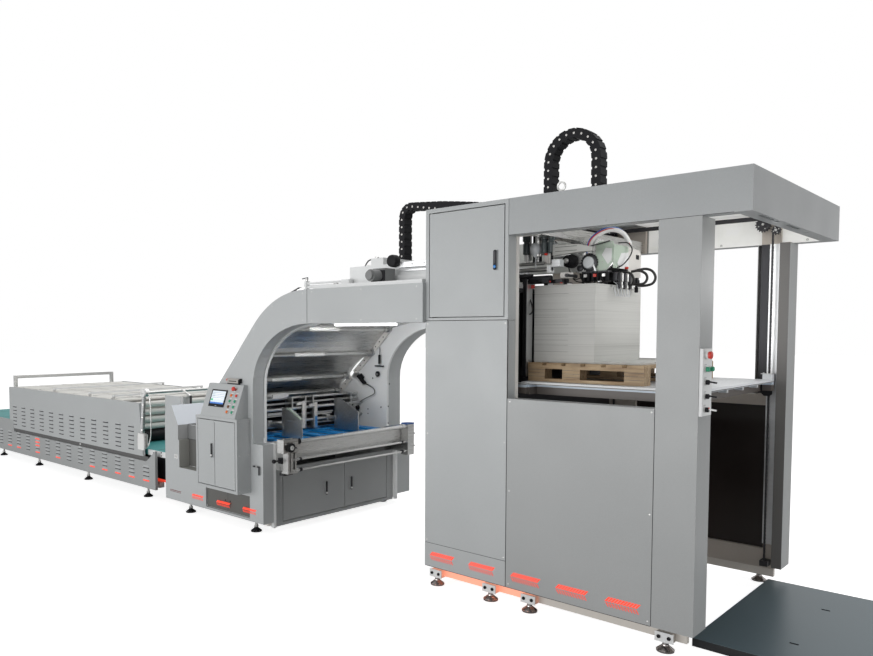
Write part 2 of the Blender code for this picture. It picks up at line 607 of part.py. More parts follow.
shoulder = [(-2.503, 1.369), (-2.676, LAM_TOP)]
APEX = (-3.345, 1.100)
BAY = (-3.228, -3.210, -2.676)  # the alcove left of the console: hood edge, wall, right side
near_left = [
    (BAY[2], 0.473), (BAY[1], 0.473), (BAY[1], 0.753), (BAY[0], 0.753), (BAY[0], 0.907), APEX,
    (-3.390, 1.096), (-3.430, 1.075), (-3.458, 1.040), (LAM_END, 0.990),
]
near_outline = [(LAM_END, LAM_Z), (LAM_FRONT, LAM_Z)] + arch_in(0) + [(ARCH_X, ARCH_OUT_Z)] + arch_out + shoulder + near_left
far_outline = [(LAM_END, LAM_Z), (LAM_FRONT, LAM_Z)] + arch_in(0)[:-1] + [(ARCH_X, ARCH_IN_Z), (-GAP, ARCH_IN_Z), (-GAP, ARCH_OUT_Z)] + arch_out + shoulder + [(LAM_END, LAM_TOP)]
node(
    "arch_cover_near", (-2.6, -LAM_SIDE, LAM_Z),
    [prism("y", near_outline, -LAM_SIDE, -LAM_COVER_IN),
     prism("y", [(APEX[0] - 0.0147, 0.910), (BAY[0], 0.907), APEX, (APEX[0] - 0.0147, APEX[1])], -LAM_COVER_IN - 0.020, -0.568)],
    grey, cuts=[box(-2.743, -2.042, -LAM_SIDE - 0.02, -LAM_SIDE + 0.020, 0.145, 0.350)],
)
node("arch_cover_far", (-2.6, LAM_FAR, LAM_Z), [prism("y", far_outline, LAM_COVER_IN, LAM_FAR)], grey)
plate_left = {
    -1: [(BAY[2], 0.900), (APEX[0] - 0.0150, 0.900), (APEX[0] - 0.0150, 1.180), (PLATE_END, 1.180)],
    1: [(LAM_END, LAM_TOP), (LAM_END, 1.180), (PLATE_END, 1.180)],
}
for s, word in ((-1, "near"), (1, "far")):
    outline = [(PLATE_END, LAM_Z), (TOE[0], LAM_Z), TOE, (LAM_FRONT, TOE[1])] + arch_in(PLATE_LIP) + [(ARCH_X, ARCH_OUT_Z)] + arch_out + shoulder + plate_left[s]
    node(f"side_plate_{word}", (-2.6, s * LAM_PLATE, LAM_Z), [prism("y", outline, *sorted((s * LAM_PLATE, s * LAM_PLATE_IN)))], white)
node("bridge_beam_near", (-0.6, -LAM_SIDE, ARCH_IN_Z), [box(ARCH_X + GAP, -GAP, -LAM_SIDE, -LAM_COVER_IN, ARCH_IN_Z, ARCH_OUT_Z)], grey)

node("arch_tie", (-1.45, 0, 2.05), [box(-1.560, -1.300, -IN, IN, 2.020, 2.150)], white)
deck_half = LAM_SIDE - 0.030
node(
    "bridge_deck", (-0.6, 0, DECK_Z),
    [
        box(-1.200, -0.030, -deck_half, deck_half, DECK_Z, DECK_Z + 0.030),
        box(-0.700, -0.030, -0.600, 0.600, DECK_Z + 0.020, DECK_Z + 0.100),
        box(-1.150, -0.050, -0.560, -0.520, DECK_Z + 0.020, DECK_Z + 0.200),
        box(-1.150, -0.050, 0.520, 0.560, DECK_Z + 0.020, DECK_Z + 0.200),
        box(-0.900, -0.760, -0.560, 0.560, DECK_Z + 0.190, CROSS_Z),
        box(-1.190, -1.100, -0.625, -0.575, DECK_Z + 0.020, DECK_Z + 0.095),
        rod("x", -0.600, DECK_Z + 0.050, 0.014, -1.660, -1.120, 10),
        rod("x", -0.600, DECK_Z + 0.082, 0.010, -1.660, -1.120, 10),
        box(-1.672, -1.646, -0.622, -0.578, DECK_Z + 0.025, DECK_Z + 0.102),
    ], white,
)
MOTOR_Z = DECK_Z + 0.030 + GAP
node(
    "register_unit", (-1.2, -0.3, MOTOR_Z),
    [
        box(-1.180, -0.950, -0.450, -0.150, MOTOR_Z, MOTOR_Z + 0.045),
        box(-1.150, -1.130, -0.420, -0.180, MOTOR_Z + 0.040, MOTOR_Z + 0.120), box(-1.000, -0.980, -0.420, -0.180, MOTOR_Z + 0.040, MOTOR_Z + 0.120),
        rod("x", -0.360, MOTOR_Z + 0.100, 0.010, -1.200, -0.960, 10), rod("x", -0.240, MOTOR_Z + 0.100, 0.010, -1.200, -0.960, 10),
        tube([(-1.065, -0.360, MOTOR_Z + 0.100), (-1.065, -0.360, MOTOR_Z + 0.200), (-1.065, -0.340, MOTOR_Z + 0.250), (-1.065, -0.300, MOTOR_Z + 0.270),
              (-1.065, -0.260, MOTOR_Z + 0.250), (-1.065, -0.240, MOTOR_Z + 0.200), (-1.065, -0.240, MOTOR_Z + 0.100)], 0.007, 8),
    ], steel,
)
node(
    "drive_motor", (-0.62, -0.65, MOTOR_Z),
    [box(-0.690, -0.560, -0.760, -0.640, MOTOR_Z, MOTOR_Z + 0.120), rod("y", -0.625, MOTOR_Z + 0.060, 0.048, -0.860, -0.750), rod("y", -0.625, MOTOR_Z + 0.060, 0.036, -0.880, -0.850)],
    dark_grey,
)

# Left block between the side plates, and the inclined sheet conveyor with its rungs
node("glue_housing", (-3.1, 0, 0.7), [box(LAM_END + 0.032, -2.780, -IN, IN, LAM_Z, 0.890)], dark_grey)
RUNGS = ((-1.917, 1.891), (-2.169, 1.636), (-2.545, 1.371), (-2.679, 1.199))
RUNG_R = 0.022
SAG = 0.030
face = [(RUNGS[-1][0], 1.045)]
for (x0, z0), (x1, z1) in zip(RUNGS[::-1], RUNGS[::-1][1:]):
    deep = SAG * math.hypot(x1 - x0, z1 - z0) / 0.35
    across = Vector((z0 - z1, x1 - x0)).normalized()
    face += [(x0 + (x1 - x0) * t + across.x * deep * 4 * t * (1 - t), z0 + (z1 - z0) * t + across.y * deep * 4 * t * (1 - t)) for t in (0, 0.2, 0.4, 0.6, 0.8)]
face += [RUNGS[0], (-1.600, 1.960), (-1.640, 2.019), (-1.960, 1.985), (-2.600, 1.370), (-2.800, 1.180), (-2.800, 1.045)]
node(
    "inclined_conveyor", (-2.3, 0, 1.5),
    [prism("y", face, -IN, IN)] + [rod("y", x + 0.006, z - 0.006, RUNG_R, -IN + 0.002, IN - 0.002, 14) for x, z in RUNGS], steel,
)

# Front: frame with two doors, roller rail, table, belts, guides and gate
FD_Z = (0.093, 0.567)
FD_Y = (-IN + 0.1087, IN - 0.0927)
FD_MID = 0.096
front_cuts = [box(DOOR_PLANE - 0.05, DOOR_PLANE + 0.01, *FD_Y, *FD_Z)]
for word, spread, low_hinge, lock in (("near", (FD_Y[0], FD_MID + DOOR_GAP / 2), True, -0.162), ("far", (FD_MID - DOOR_GAP / 2, FD_Y[1]), False, 0.181)):
    shapes, at = leaf("x", spread, FD_Z, DOOR_PLANE, 1, low_hinge)
    shapes.append(box(DOOR_PLANE - 0.004, DOOR_PLANE + LOCK[1], lock - LOCK[0] / 2, lock + LOCK[0] / 2, 0.265, 0.265 + LOCK[2]))
    axis = empty(f"front_door_{word}_axis", at, machine)
    node(f"front_door_{word}", at, shapes, grey, axis)
    front_cuts += pin_holes(at, FD_Z)
node("front_frame", (DOOR_PLANE, 0, 0.1), [box(DOOR_PLANE - 0.040, DOOR_PLANE, -IN, IN, BASE_Z, 0.600)], grey, cuts=front_cuts)

ARM_IN = LAM_PLATE_IN - 0.030  # inner face of the arms that carry the rail
TABLE = ARM_IN - GAP
RAIL_X = -1.660
FASCIA_X = (-1.740, -1.725)
BLOCK_X = (-1.720, -1.630)
block_y = (-LAM_SIDE + 0.060, -LAM_PLATE_IN + 0.080)
WHEEL = (BLOCK_X[1], block_y[0] + 0.074, 0.828)
WHEEL_R, AXLE_R = 0.040, 0.008
rail = [rod("y", RAIL_X, z, r, -LAM_PLATE_IN + 0.010, LAM_PLATE_IN - 0.010, 12) for z, r in ((0.870, 0.020), (0.707, 0.011), (0.610, 0.011))]
arm = [(-1.980, 0.6003), (-1.640, 0.6003), (-1.640, 0.890), (-1.700, 0.890), (-1.980, 0.838)]
rail += both(ARM_IN, IN, lambda a, b: prism("y", arm, a, b))
rail.append(box(*FASCIA_X, -LAM_PLATE_IN + 0.020, LAM_PLATE_IN - 0.020, 0.700, 0.850))
rail.append(box(*BLOCK_X, *block_y, 0.780, 0.900))
rail += [box(BLOCK_X[0] + 0.010, BLOCK_X[1] - 0.010, y, y + 0.020, 0.600, 0.790) for y in (block_y[0] + 0.060, block_y[1] - 0.030)]
rail.append(box(*BLOCK_X, block_y[0] + 0.050, block_y[1] - 0.005, 0.590, 0.605))
rail.append(box(BLOCK_X[0], BLOCK_X[1], LAM_PLATE_IN - 0.050, LAM_PLATE_IN + 0.050, 0.570, 0.890))
node("front_roller_rail", (RAIL_X, 0, 0.8), rail, steel, cuts=[rod("x", WHEEL[1], WHEEL[2], AXLE_R + GAP, WHEEL[0] - 0.032, WHEEL[0] + 0.01, 14)])
wheel_axis = empty("handwheel_axis", WHEEL, machine)
node(
    "handwheel", WHEEL,
    [
        rod("x", WHEEL[1], WHEEL[2], AXLE_R, WHEEL[0] - 0.028, WHEEL[0] + 0.030, 14),
        rod("x", WHEEL[1], WHEEL[2], WHEEL_R, WHEEL[0] + 0.014, WHEEL[0] + 0.026, 24),
        rod("x", WHEEL[1] + WHEEL_R - 0.010, WHEEL[2], 0.006, WHEEL[0] + 0.020, WHEEL[0] + 0.055, 8),
    ],
    black, wheel_axis,
    cuts=[joined([rod("x", WHEEL[1] + 0.022 * math.cos(t), WHEEL[2] + 0.022 * math.sin(t), 0.008, WHEEL[0] + 0.010, WHEEL[0] + 0.034, 10) for t in (0.9, 2.6, 4.0, 5.4)])],
)

table_nose = FASCIA_X[0] - GAP - 0.028
node(
    "feed_table", (-2.2, 0, 0.8),
    [box(-2.780 + GAP, table_nose - 0.010, -TABLE, TABLE, TABLE_Z - 0.040, TABLE_Z), rod("y", table_nose, TABLE_Z - 0.029, 0.028, -TABLE, TABLE, 16)], steel,
)
belt_z = TABLE_Z + GAP
belts = [box(-2.740, table_nose + 0.010, y - TABLE * 0.0697, y + TABLE * 0.0697, belt_z, belt_z + BELT_T) for y in [TABLE * k * 0.157 for k in (-5, -3, -1, 1, 3, 5)]]
belts.append(rod("y", -2.350, belt_z + 0.0107, 0.0100, -TABLE * 0.836, TABLE * 0.836, 12))
node("feed_belts", (-2.35, 0, 0.83), belts, blue)

GATE_R = 0.016
GATE = (-2.350, 0.950)
gate = [rod("y", x, z, GATE_R, -IN, IN, 12) for x, z in (GATE, (-2.350, 1.080), (-2.420, 1.180))]
gate += [box(-2.440, -2.335, y - 0.008, y + 0.008, 0.860, 1.200) for y in (-IN + 0.130, -0.200, -0.020, 0.085, IN - 0.180)]
node("front_gate", (-2.35, 0, 1.0), gate, steel)

GUIDE_Z = belt_z + BELT_T + 0.010
CARRIAGE = 0.035
for word, y, back, top, front, front_top, crest in (
    ("near", -0.505, -2.130, 1.130, -1.840, 1.040, -2.000), ("far", 0.280, -2.220, 1.165, -1.870, 1.045, -2.130),
):
    axis = empty(f"side_guide_{word}_slide", (GATE[0], y, GATE[1]), machine)
    outline = [(back, GUIDE_Z), (front, GUIDE_Z), (front, front_top), (crest, top), (back, top)]
    node(
        f"side_guide_{word}", (GATE[0], y, GATE[1]),
        [prism("y", outline, y - 0.006, y + 0.006), box(GATE[0] + CARRIAGE - 0.010, back + 0.020, y - 0.012, y + 0.012, GATE[1] - 0.025, GATE[1] + 0.025),
         box(GATE[0] - CARRIAGE, GATE[0] + CARRIAGE, y - 0.025, y + 0.025, GATE[1] - CARRIAGE, GATE[1] + CARRIAGE)], steel, axis,
        cuts=[rod("y", *GATE, GATE_R + GAP, y - 0.05, y + 0.05, 16)],
    )

# Console on the working side: a shallow cabinet with two doors and a leaning head
CON_BACK = -LAM_SIDE - GAP
CO_X = (CON_X[0] + CON_RIM, CON_X[1] - CON_RIM)
CO_Z = (CON_Z[0] + CON_RIM, CON_Z[1] - CON_RIM)
CO_MID = -2.365
console_cuts = [box(*CO_X, -CON_FRONT - 0.05, CON_BACK - 0.018, *CO_Z)]
for word, spread, low_hinge in (("left", (CO_X[0], CO_MID + DOOR_GAP / 2), True), ("right", (CO_MID - DOOR_GAP / 2, CO_X[1]), False)):
    shapes, at = leaf("y", spread, CO_Z, -CON_FRONT, -1, low_hinge)
    if word == "left":
        shapes.append(box(CO_MID - 0.048, CO_MID - 0.048 + LOCK[0], -CON_FRONT - LOCK[1], -CON_FRONT + 0.004, 0.690, 0.690 + LOCK[2]))
    axis = empty(f"console_door_{word}_axis", at, machine)
    node(f"console_door_{word}", at, shapes, grey, axis)
    console_cuts += pin_holes(at, CO_Z)
head = [(-CON_FRONT + 0.008, CON_Z[1] - 0.010), (CON_BACK, CON_Z[1] - 0.010), (CON_BACK, 1.371), (-CON_FRONT + 0.114, 1.371), (-CON_FRONT + 0.008, CON_Z[1] + 0.010)]
node(
    "console_cabinet", (-2.34, -CON_FRONT, CON_Z[0]),
    [box(*CON_X, -CON_FRONT, CON_BACK, *CON_Z), prism("x", head, CON_X[0] + 0.067, CON_X[1] - 0.040)], grey, cuts=console_cuts,
)

# Delivery: lower frame the whole length, press section over it
BAND_END = (-7.660, -7.630)
lower = [
    (DEL_END, DEL_Z), (DEL_START, DEL_Z), (DEL_START, DEL_TOP - 0.030), (DEL_START - 0.185, BAND_Z[0]),
    (BAND_END[1], BAND_Z[0]), (BAND_END[0], DEL_TOP), (DEL_END, DEL_TOP),
]
upper = [
    (PRESS_X[0], DEL_TOP + GAP), (BAND_END[0], DEL_TOP + GAP), (BAND_END[1], BAND_Z[1]), (PRESS_X[1] + 0.071, BAND_Z[1]),
    (PRESS_X[1], PRESS_Z), (PRESS_X[0], PRESS_Z),
]
for s, word in ((-1, "near"), (1, "far")):
    low, high = sorted((s * DEL_SIDE, s * (DEL_SIDE - DEL_SHEET)))
    node(f"delivery_panel_{word}", (-6.7, s * DEL_SIDE, DEL_Z), [prism("y", lower, low, high)], grey)
    node(f"press_panel_{word}", (-5.9, s * DEL_SIDE, BAND_Z[1]), [prism("y", upper, low, high)], grey)
belt_low = DEL_BELT_Z - 0.067
del_rail = DEL_IN - 0.080
del_base = both(del_rail - 0.030, del_rail + 0.030, lambda a, b: box(DEL_END + 0.05, DEL_START - 0.05, a, b, DEL_Z + 0.007, DEL_Z + 0.067))
del_base += [box(x - 0.03, x + 0.03, -DEL_IN, DEL_IN, DEL_Z + 0.009, DEL_Z + 0.065) for x in DEL_FEET_X]
del_base += [foot(x, s * del_rail, DEL_Z + 0.020) for s in (-1, 1) for x in DEL_FEET_X]
node("delivery_base", (-6.7, 0, 0.17), del_base, beam)
node(
    "press_frame", (-5.9, 0, 0.4),
    both(PRESS_IN, DEL_IN - 0.0003, lambda a, b: box(PRESS_X[0] + 0.02, PRESS_X[1] - 0.03, a, b, 0.300, PRESS_Z - 0.044))
    + [box(x - 0.03, x + 0.03, -PRESS_IN - 0.010, PRESS_IN + 0.010, 0.420, belt_low - GAP) for x in (-7.6, -6.3, -5.0, -4.25)]
    + [box(-4.250, -3.500, -IN + 0.060, IN - 0.060, 0.220, belt_low - 0.005)], dark,
)
node("delivery_belt", (-6.7, 0, 0.53), [box(DEL_END + 0.02, LAM_END + 0.032 - GAP, -IN, IN, belt_low, DEL_BELT_Z)], teal)
on_belt = DEL_BELT_Z + GAP
belt_half = PRESS_IN - GAP
node("press_belt", (-5.9, 0, 0.8), [box(-7.740, -4.640, -belt_half, belt_half, on_belt, PRESS_Z - 0.004)], cream)
cheek = belt_half - 0.030
node(
    "entry_rollers", (-4.58, 0, 0.8),
    [rod("y", -4.560, z, 0.036, -belt_half, belt_half, 14) for z in (1.000, 0.910, 0.820, 0.740)]
    + both(cheek - 0.015, cheek + 0.015, lambda a, b: box(-4.585, -4.535, a, b, 0.640, 1.040))
    + [rod("y", -4.540, on_belt + 0.070, 0.060, -belt_half, belt_half, 18)], steel,
)
TENSION_FOOT = (-4.165, -3.950)
HUB = (-3.985, 1.190)
tension_y = DEL_SIDE + GAP
node(
    "tension_bar", (-4.0, 0, 0.9),
    both(tension_y, tension_y + 0.012, lambda a, b: box(*TENSION_FOOT, a, b, 0.590, 0.730))
    + both(tension_y, tension_y + 0.040, lambda a, b: box(-4.085, -3.985, a, b, 0.570, 0.740))
    + both(tension_y + 0.008, tension_y + 0.034, lambda a, b: prism("y", [(-4.050, 0.720), (-4.010, 0.720), (HUB[0] + 0.018, HUB[1]), (HUB[0] - 0.022, HUB[1])], a, b))
    + [rod("y", *HUB, 0.016, -tension_y, tension_y, 12)]
    + both(tension_y - 0.020, tension_y + 0.040, lambda a, b: rod("y", *HUB, 0.045, a, b, 18)), steel,
)
RAIL_HALF = PRESS_IN - 0.080
node(
    "handrail", (-7.89, 0, 0.8),
    [tube([(-7.890, s * RAIL_HALF, z) for s, z in ((-1, on_belt), (-1, 1.155))] + [(-7.890, 0.013 - RAIL_HALF, 1.182), (-7.890, 0.045 - RAIL_HALF, 1.195),
           (-7.890, RAIL_HALF - 0.045, 1.195), (-7.890, RAIL_HALF - 0.013, 1.182)] + [(-7.890, RAIL_HALF, z) for z in (1.155, on_belt)], 0.020, 10)], steel,
)
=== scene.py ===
import math

import bmesh
import bpy
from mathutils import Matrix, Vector


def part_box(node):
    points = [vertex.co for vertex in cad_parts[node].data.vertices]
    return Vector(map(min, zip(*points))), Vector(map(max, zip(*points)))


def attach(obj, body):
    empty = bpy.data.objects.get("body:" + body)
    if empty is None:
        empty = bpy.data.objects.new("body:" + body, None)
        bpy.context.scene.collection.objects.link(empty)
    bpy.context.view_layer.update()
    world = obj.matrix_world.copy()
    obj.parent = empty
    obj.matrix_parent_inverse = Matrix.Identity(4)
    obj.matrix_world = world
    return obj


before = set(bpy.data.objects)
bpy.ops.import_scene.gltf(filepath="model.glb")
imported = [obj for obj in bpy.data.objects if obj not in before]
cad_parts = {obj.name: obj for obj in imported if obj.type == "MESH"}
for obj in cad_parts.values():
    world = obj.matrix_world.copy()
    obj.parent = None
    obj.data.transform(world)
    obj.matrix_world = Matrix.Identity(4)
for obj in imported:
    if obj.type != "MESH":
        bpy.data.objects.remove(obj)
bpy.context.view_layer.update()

# Every number below is in metres in the machine's own frame: x from the tower's left side,
# y from the centre line and z from the floor. SHIFT leads from there into the shared frame.
SHIFT = Vector((3.225, 0.0435, 0.0))
scene = bpy.context.scene

# Planes and places that several pieces share
SIDES = ((-1, "near"), (1, "far"))
TOWER_FACE = -0.935
LAM_FACE = -0.970
DELIVERY_FACE = 0.890
TOWER_TOP = 2.7302
DECK_TOP = 2.2406
FOOT_Y = 0.865


# Materials

FLECK_SCALE = 900.0
PEEL_SCALE = 350.0
SCRATCH_SCALE = 260.0


def put(tree, kind, **values):
    """A new node of one kind with the values of its inputs, where an underscore stands for a space."""
    made = tree.nodes.new(kind)
    for socket, value in values.items():
        made.inputs[socket.replace("_", " ")].default_value = value
    return made


def shader(name, rgb, metallic, rough):
    """A new material, its node tree and its main node."""
    made = bpy.data.materials.new(name)
    made.use_nodes = True
    main = made.node_tree.nodes["Principled BSDF"]
    main.inputs["Base Color"].default_value = (*rgb, 1.0)
    main.inputs["Metallic"].default_value = metallic
    main.inputs["Roughness"].default_value = rough
    return made, made.node_tree, main


def noise(tree, scale, stretch=(1, 1, 1), detail=3.0, rough=0.5):
    """Fine noise on the object's own coordinates, stretched along the axes with small numbers."""
    coords = put(tree, "ShaderNodeTexCoord")
    mapping = put(tree, "ShaderNodeMapping", Scale=stretch)
    found = put(tree, "ShaderNodeTexNoise", Scale=scale, Detail=detail, Roughness=rough)
    tree.links.new(coords.outputs["Object"], mapping.inputs["Vector"])
    tree.links.new(mapping.outputs["Vector"], found.inputs["Vector"])
    return found.outputs["Fac"]


def ramp(tree, source, stops):
    """Colours at the places (place, rgb) that a source between 0 and 1 runs through."""
    made = put(tree, "ShaderNodeValToRGB")
    band = made.color_ramp
    while len(band.elements) < len(stops):
        band.elements.new(0.5)
    for element, (place, rgb) in zip(band.elements, stops):
        element.position = place
        element.color = (*rgb, 1.0)
    tree.links.new(source, made.inputs["Fac"])
    return made.outputs["Color"]


def spread(tree, source, low, high, start, end):
    """low to high, as the source goes from start to end."""
    made = put(tree, "ShaderNodeMapRange", From_Min=start, From_Max=end, To_Min=low, To_Max=high)
    tree.links.new(source, made.inputs["Value"])
    return made.outputs["Result"]


def bump(tree, main, source, strength, distance):
    made = put(tree, "ShaderNodeBump", Strength=strength, Distance=distance)
    tree.links.new(source, made.inputs["Height"])
    tree.links.new(made.outputs["Normal"], main.inputs["Normal"])


def mix(tree, share, first, second):
    """From the first colour to the second by a share; each is a socket or an rgb."""
    made = put(tree, "ShaderNodeMix")
    made.data_type = "RGBA"
    tree.links.new(share, made.inputs["Factor"])
    for socket, value in ((made.inputs[6], first), (made.inputs[7], second)):
        if isinstance(value, tuple):
            socket.default_value = (*value, 1.0)
        else:
            tree.links.new(value, socket)
    return made.outputs[2]


def times(tree, first, second):
    made = put(tree, "ShaderNodeMath")
    made.operation = "MULTIPLY"
    tree.links.new(first, made.inputs[0])
    tree.links.new(second, made.inputs[1])
    return made.outputs["Value"]


def by_place(tree, axis, low, high):
    """0 to 1 as a place in the machine's own frame goes from low to high along an axis."""
    where = put(tree, "ShaderNodeTexCoord")
    apart = put(tree, "ShaderNodeSeparateXYZ")
    tree.links.new(where.outputs["Object"], apart.inputs["Vector"])
    shift = SHIFT["xyz".index(axis)]
    return spread(tree, apart.outputs[axis.upper()], 0.0, 1.0, low + shift, high + shift)


def shades(rgb, amount):
    """The colour, a share darker and a share lighter."""
    return tuple(max(0.0, c * (1 - amount)) for c in rgb), tuple(min(1.0, c * (1 + amount)) for c in rgb)


def two_tone(tree, source, rgb, amount, margin):
    """The darker and the lighter shade of a colour, from the low and the high end of a source."""
    darker, lighter = shades(rgb, amount)
    return ramp(tree, source, [(margin, darker), (1 - margin, lighter)])


def fleck_of(tree, rgb, amount):
    """The fine fleck of a powder coat."""
    return two_tone(tree, noise(tree, FLECK_SCALE, detail=1.0), rgb, amount, 0.35)


def orange_peel(tree, main):
    bump(tree, main, noise(tree, PEEL_SCALE, detail=2.0), 0.05, 0.001)


def paint(name, rgb, rough=0.42, fleck=0.05, metallic=0.06):
    """Powder coat: a fine metallic fleck, a slow drift in tone and a slight orange peel."""
    made, tree, main = shader(name, rgb, metallic, rough)
    fine = fleck_of(tree, rgb, fleck)
    slow = spread(tree, noise(tree, 1.3, detail=2.0), 0.0, 0.22, 0.35, 0.65)
    tree.links.new(mix(tree, slow, fine, shades(rgb, 0.16)[0]), main.inputs["Base Color"])
    worn = spread(tree, noise(tree, 2.2, detail=4.0), rough - 0.05, rough + 0.07, 0.3, 0.7)
    tree.links.new(worn, main.inputs["Roughness"])
    orange_peel(tree, main)
    return made


def coat(name, rgb, spots, rough=0.42):
    """A coat of one colour, with other colours inside places given as (colour, ((axis, out, in), ...))."""
    made, tree, main = shader(name, rgb, 0.05, rough)
    colour = fleck_of(tree, rgb, 0.08)
    for other, sides in spots:
        share = by_place(tree, *sides[0])
        for side in sides[1:]:
            share = times(tree, share, by_place(tree, *side))
        colour = mix(tree, share, colour, other)
    tree.links.new(colour, main.inputs["Base Color"])
    orange_peel(tree, main)
    return made


def red_light(rgb, top_glow_rgb, glow_rgb, share):
    """Warm white coat with the light of the red lamps behind the tower's skirt painted on at the near side's
    left end: a pink-red tint lower down and strong red above, in colour and as a glow.
    """
    made, tree, main = shader("base_coat_with_painted_red_glow", rgb, 0.0, 0.5)
    along = times(tree, by_place(tree, "x", 0.91, 0.86), by_place(tree, "y", -0.70, -0.78))
    painted_red_glow = mix(tree, by_place(tree, "z", 0.120, 0.138), glow_rgb, top_glow_rgb)
    grained = two_tone(tree, noise(tree, 420.0, detail=2.0), rgb, 0.04, 0.35)
    tree.links.new(mix(tree, along, grained, painted_red_glow), main.inputs["Base Color"])
    tree.links.new(mix(tree, along, (0.0, 0.0, 0.0), painted_red_glow), main.inputs["Emission Color"])
    main.inputs["Emission Strength"].default_value = share
    orange_peel(tree, main)
    return made


def metal(name, rgb, rough, along=(1, 1, 1), grain=0.10):
    """Ground sheet metal: fine scratches along one way, roughness that varies in streaks."""
    made, tree, main = shader(name, rgb, 1.0, rough)
    scratch = noise(tree, SCRATCH_SCALE, along, detail=4.0, rough=0.6)
    tree.links.new(two_tone(tree, scratch, rgb, grain, 0.3), main.inputs["Base Color"])
    tree.links.new(spread(tree, scratch, rough - 0.07, rough + 0.12, 0.3, 0.7), main.inputs["Roughness"])
    bump(tree, main, scratch, 0.08, 0.001)
    return made


def plain(name, rgb, rough, metallic=0.0, fleck=0.06, size=420.0, strength=0.10):
    """Moulded plastic, rubber or cast parts: a fine grain in colour and surface."""
    made, tree, main = shader(name, rgb, metallic, rough)
    grain = noise(tree, size)
    tree.links.new(two_tone(tree, grain, rgb, fleck, 0.3), main.inputs["Base Color"])
    bump(tree, main, grain, strength, 0.0008)
    return made


def glow(name, rgb, strength):
    """A surface that gives light of its own colour."""
    made, _, main = shader(name, rgb, 0.0, 0.4)
    main.inputs["Emission Color"].default_value = (*rgb, 1.0)
    main.inputs["Emission Strength"].default_value = strength
    return made


grey = paint("silver_grey_powder_coat", (0.435, 0.452, 0.456), fleck=0.10)
# The panel, canopy and front coats are the same silver-grey coat painted darker: painted shade on the parts
# that stand in less light.
shaded_grey_panel = paint("silver_grey_coat_painted_shade_panel", (0.365, 0.375, 0.376), fleck=0.10)
shaded_grey_canopy = paint("silver_grey_coat_painted_shade_canopy", (0.365, 0.380, 0.386), 0.32, 0.14)
shaded_grey_front = paint("silver_grey_coat_painted_shade_front", (0.36, 0.372, 0.374), fleck=0.10)
# A darker grey for the motor, the glue housing and small boxes; on the alcove's upper back it is painted
# shade under the hood.
grey_shade = paint("dark_grey_coat_and_painted_shade", (0.20, 0.205, 0.205), 0.45)
# Near-black coat for sheets that stand in recesses as painted shade.
recess = paint("shaded_recess_coat", (0.115, 0.115, 0.108), 0.5, 0.05, 0.1)
white = paint("white_powder_coat", (0.78, 0.79, 0.79), 0.42, 0.02, 0.0)
off_white = paint("warm_white_coat", (0.70, 0.68, 0.65), 0.45, 0.03, 0.0)
pale_green = paint("pale_green_coat", (0.47, 0.56, 0.47), 0.40, 0.04, 0.1)
pale_steel = paint("platform_coat", (0.62, 0.63, 0.635), 0.42, 0.03, 0.1)
brown = paint("dark_brown_panel", (0.020, 0.015, 0.013), 0.32, 0.08, 0.1)
bare_brown = paint("bare_brown_frame", (0.50, 0.45, 0.40), 0.4, 0.06, 0.1)
steel = metal("ground_stainless", (0.62, 0.62, 0.61), 0.28, (1, 0.02, 1))
steel_x = metal("ground_stainless_lengthwise", (0.62, 0.62, 0.61), 0.28, (0.02, 1, 1))
zinc = metal("zinc_plated_steel", (0.58, 0.58, 0.57), 0.34)
alu = metal("aluminium_section", (0.70, 0.71, 0.72), 0.36, (0.03, 1, 1), 0.05)
worn_chrome = metal("worn_chrome", (0.36, 0.33, 0.32), 0.22, grain=0.25)
dark_steel = plain("blackened_steel", (0.040, 0.040, 0.044), 0.42, 0.6)
black = plain("black_plastic", (0.016, 0.016, 0.018), 0.50)
black.node_tree.nodes["Principled BSDF"].inputs["Specular IOR Level"].default_value = 0.12
rubber = plain("black_rubber", (0.022, 0.021, 0.021), 0.65, 0.0, 0.1, 250.0, 0.2)
blue = plain("blue_belt", (0.02, 0.26, 0.66), 0.48, 0.0, 0.08, 300.0, 0.15)
teal = plain("teal_belt", (0.07, 0.33, 0.33), 0.55, 0.0, 0.10, 300.0, 0.15)
cream = plain("cream_web", (0.86, 0.85, 0.81), 0.75, 0.0, 0.03, 160.0, 0.2)
under_web = plain("web_shadow", (0.30, 0.29, 0.27), 0.7)
red = plain("red_plastic", (0.62, 0.035, 0.02), 0.32)
orange = plain("orange_plastic", (0.72, 0.16, 0.02), 0.32)
green = plain("green_plastic", (0.02, 0.30, 0.16), 0.32)
blue_button = plain("blue_button", (0.02, 0.22, 0.62), 0.3)
brown_button = plain("brown_button", (0.16, 0.07, 0.03), 0.4)
blue_cap = plain("blue_cap", (0.03, 0.10, 0.32), 0.35)
blue_bar = plain("blue_bar", (0.10, 0.30, 0.62), 0.35)
blue_hose = plain("blue_hose", (0.03, 0.12, 0.50), 0.35)
red_hose = plain("red_hose", (0.55, 0.04, 0.04), 0.35)
white_plastic = plain("white_plastic", (0.74, 0.74, 0.73), 0.4)
clear = plain("milky_plastic", (0.60, 0.62, 0.64), 0.25)
label = plain("printed_label", (0.42, 0.43, 0.44), 0.5)
call_grey = plain("call_box_grey", (0.42, 0.40, 0.37), 0.4)
back_grey = plain("back_plate_coat", (0.52, 0.53, 0.50), 0.5)
arm_grey = plain("arm_grey_metal", (0.30, 0.30, 0.285), 0.45, 0.3)
dark_glass = plain("smoked_cylinder", (0.06, 0.075, 0.078), 0.25)
seam = plain("panel_joint", (0.10, 0.10, 0.10), 0.7)
joint_dark = plain("open_joint", (0.035, 0.035, 0.035), 0.8)
led = glow("led_strip", (1.0, 1.0, 1.0), 4.0)
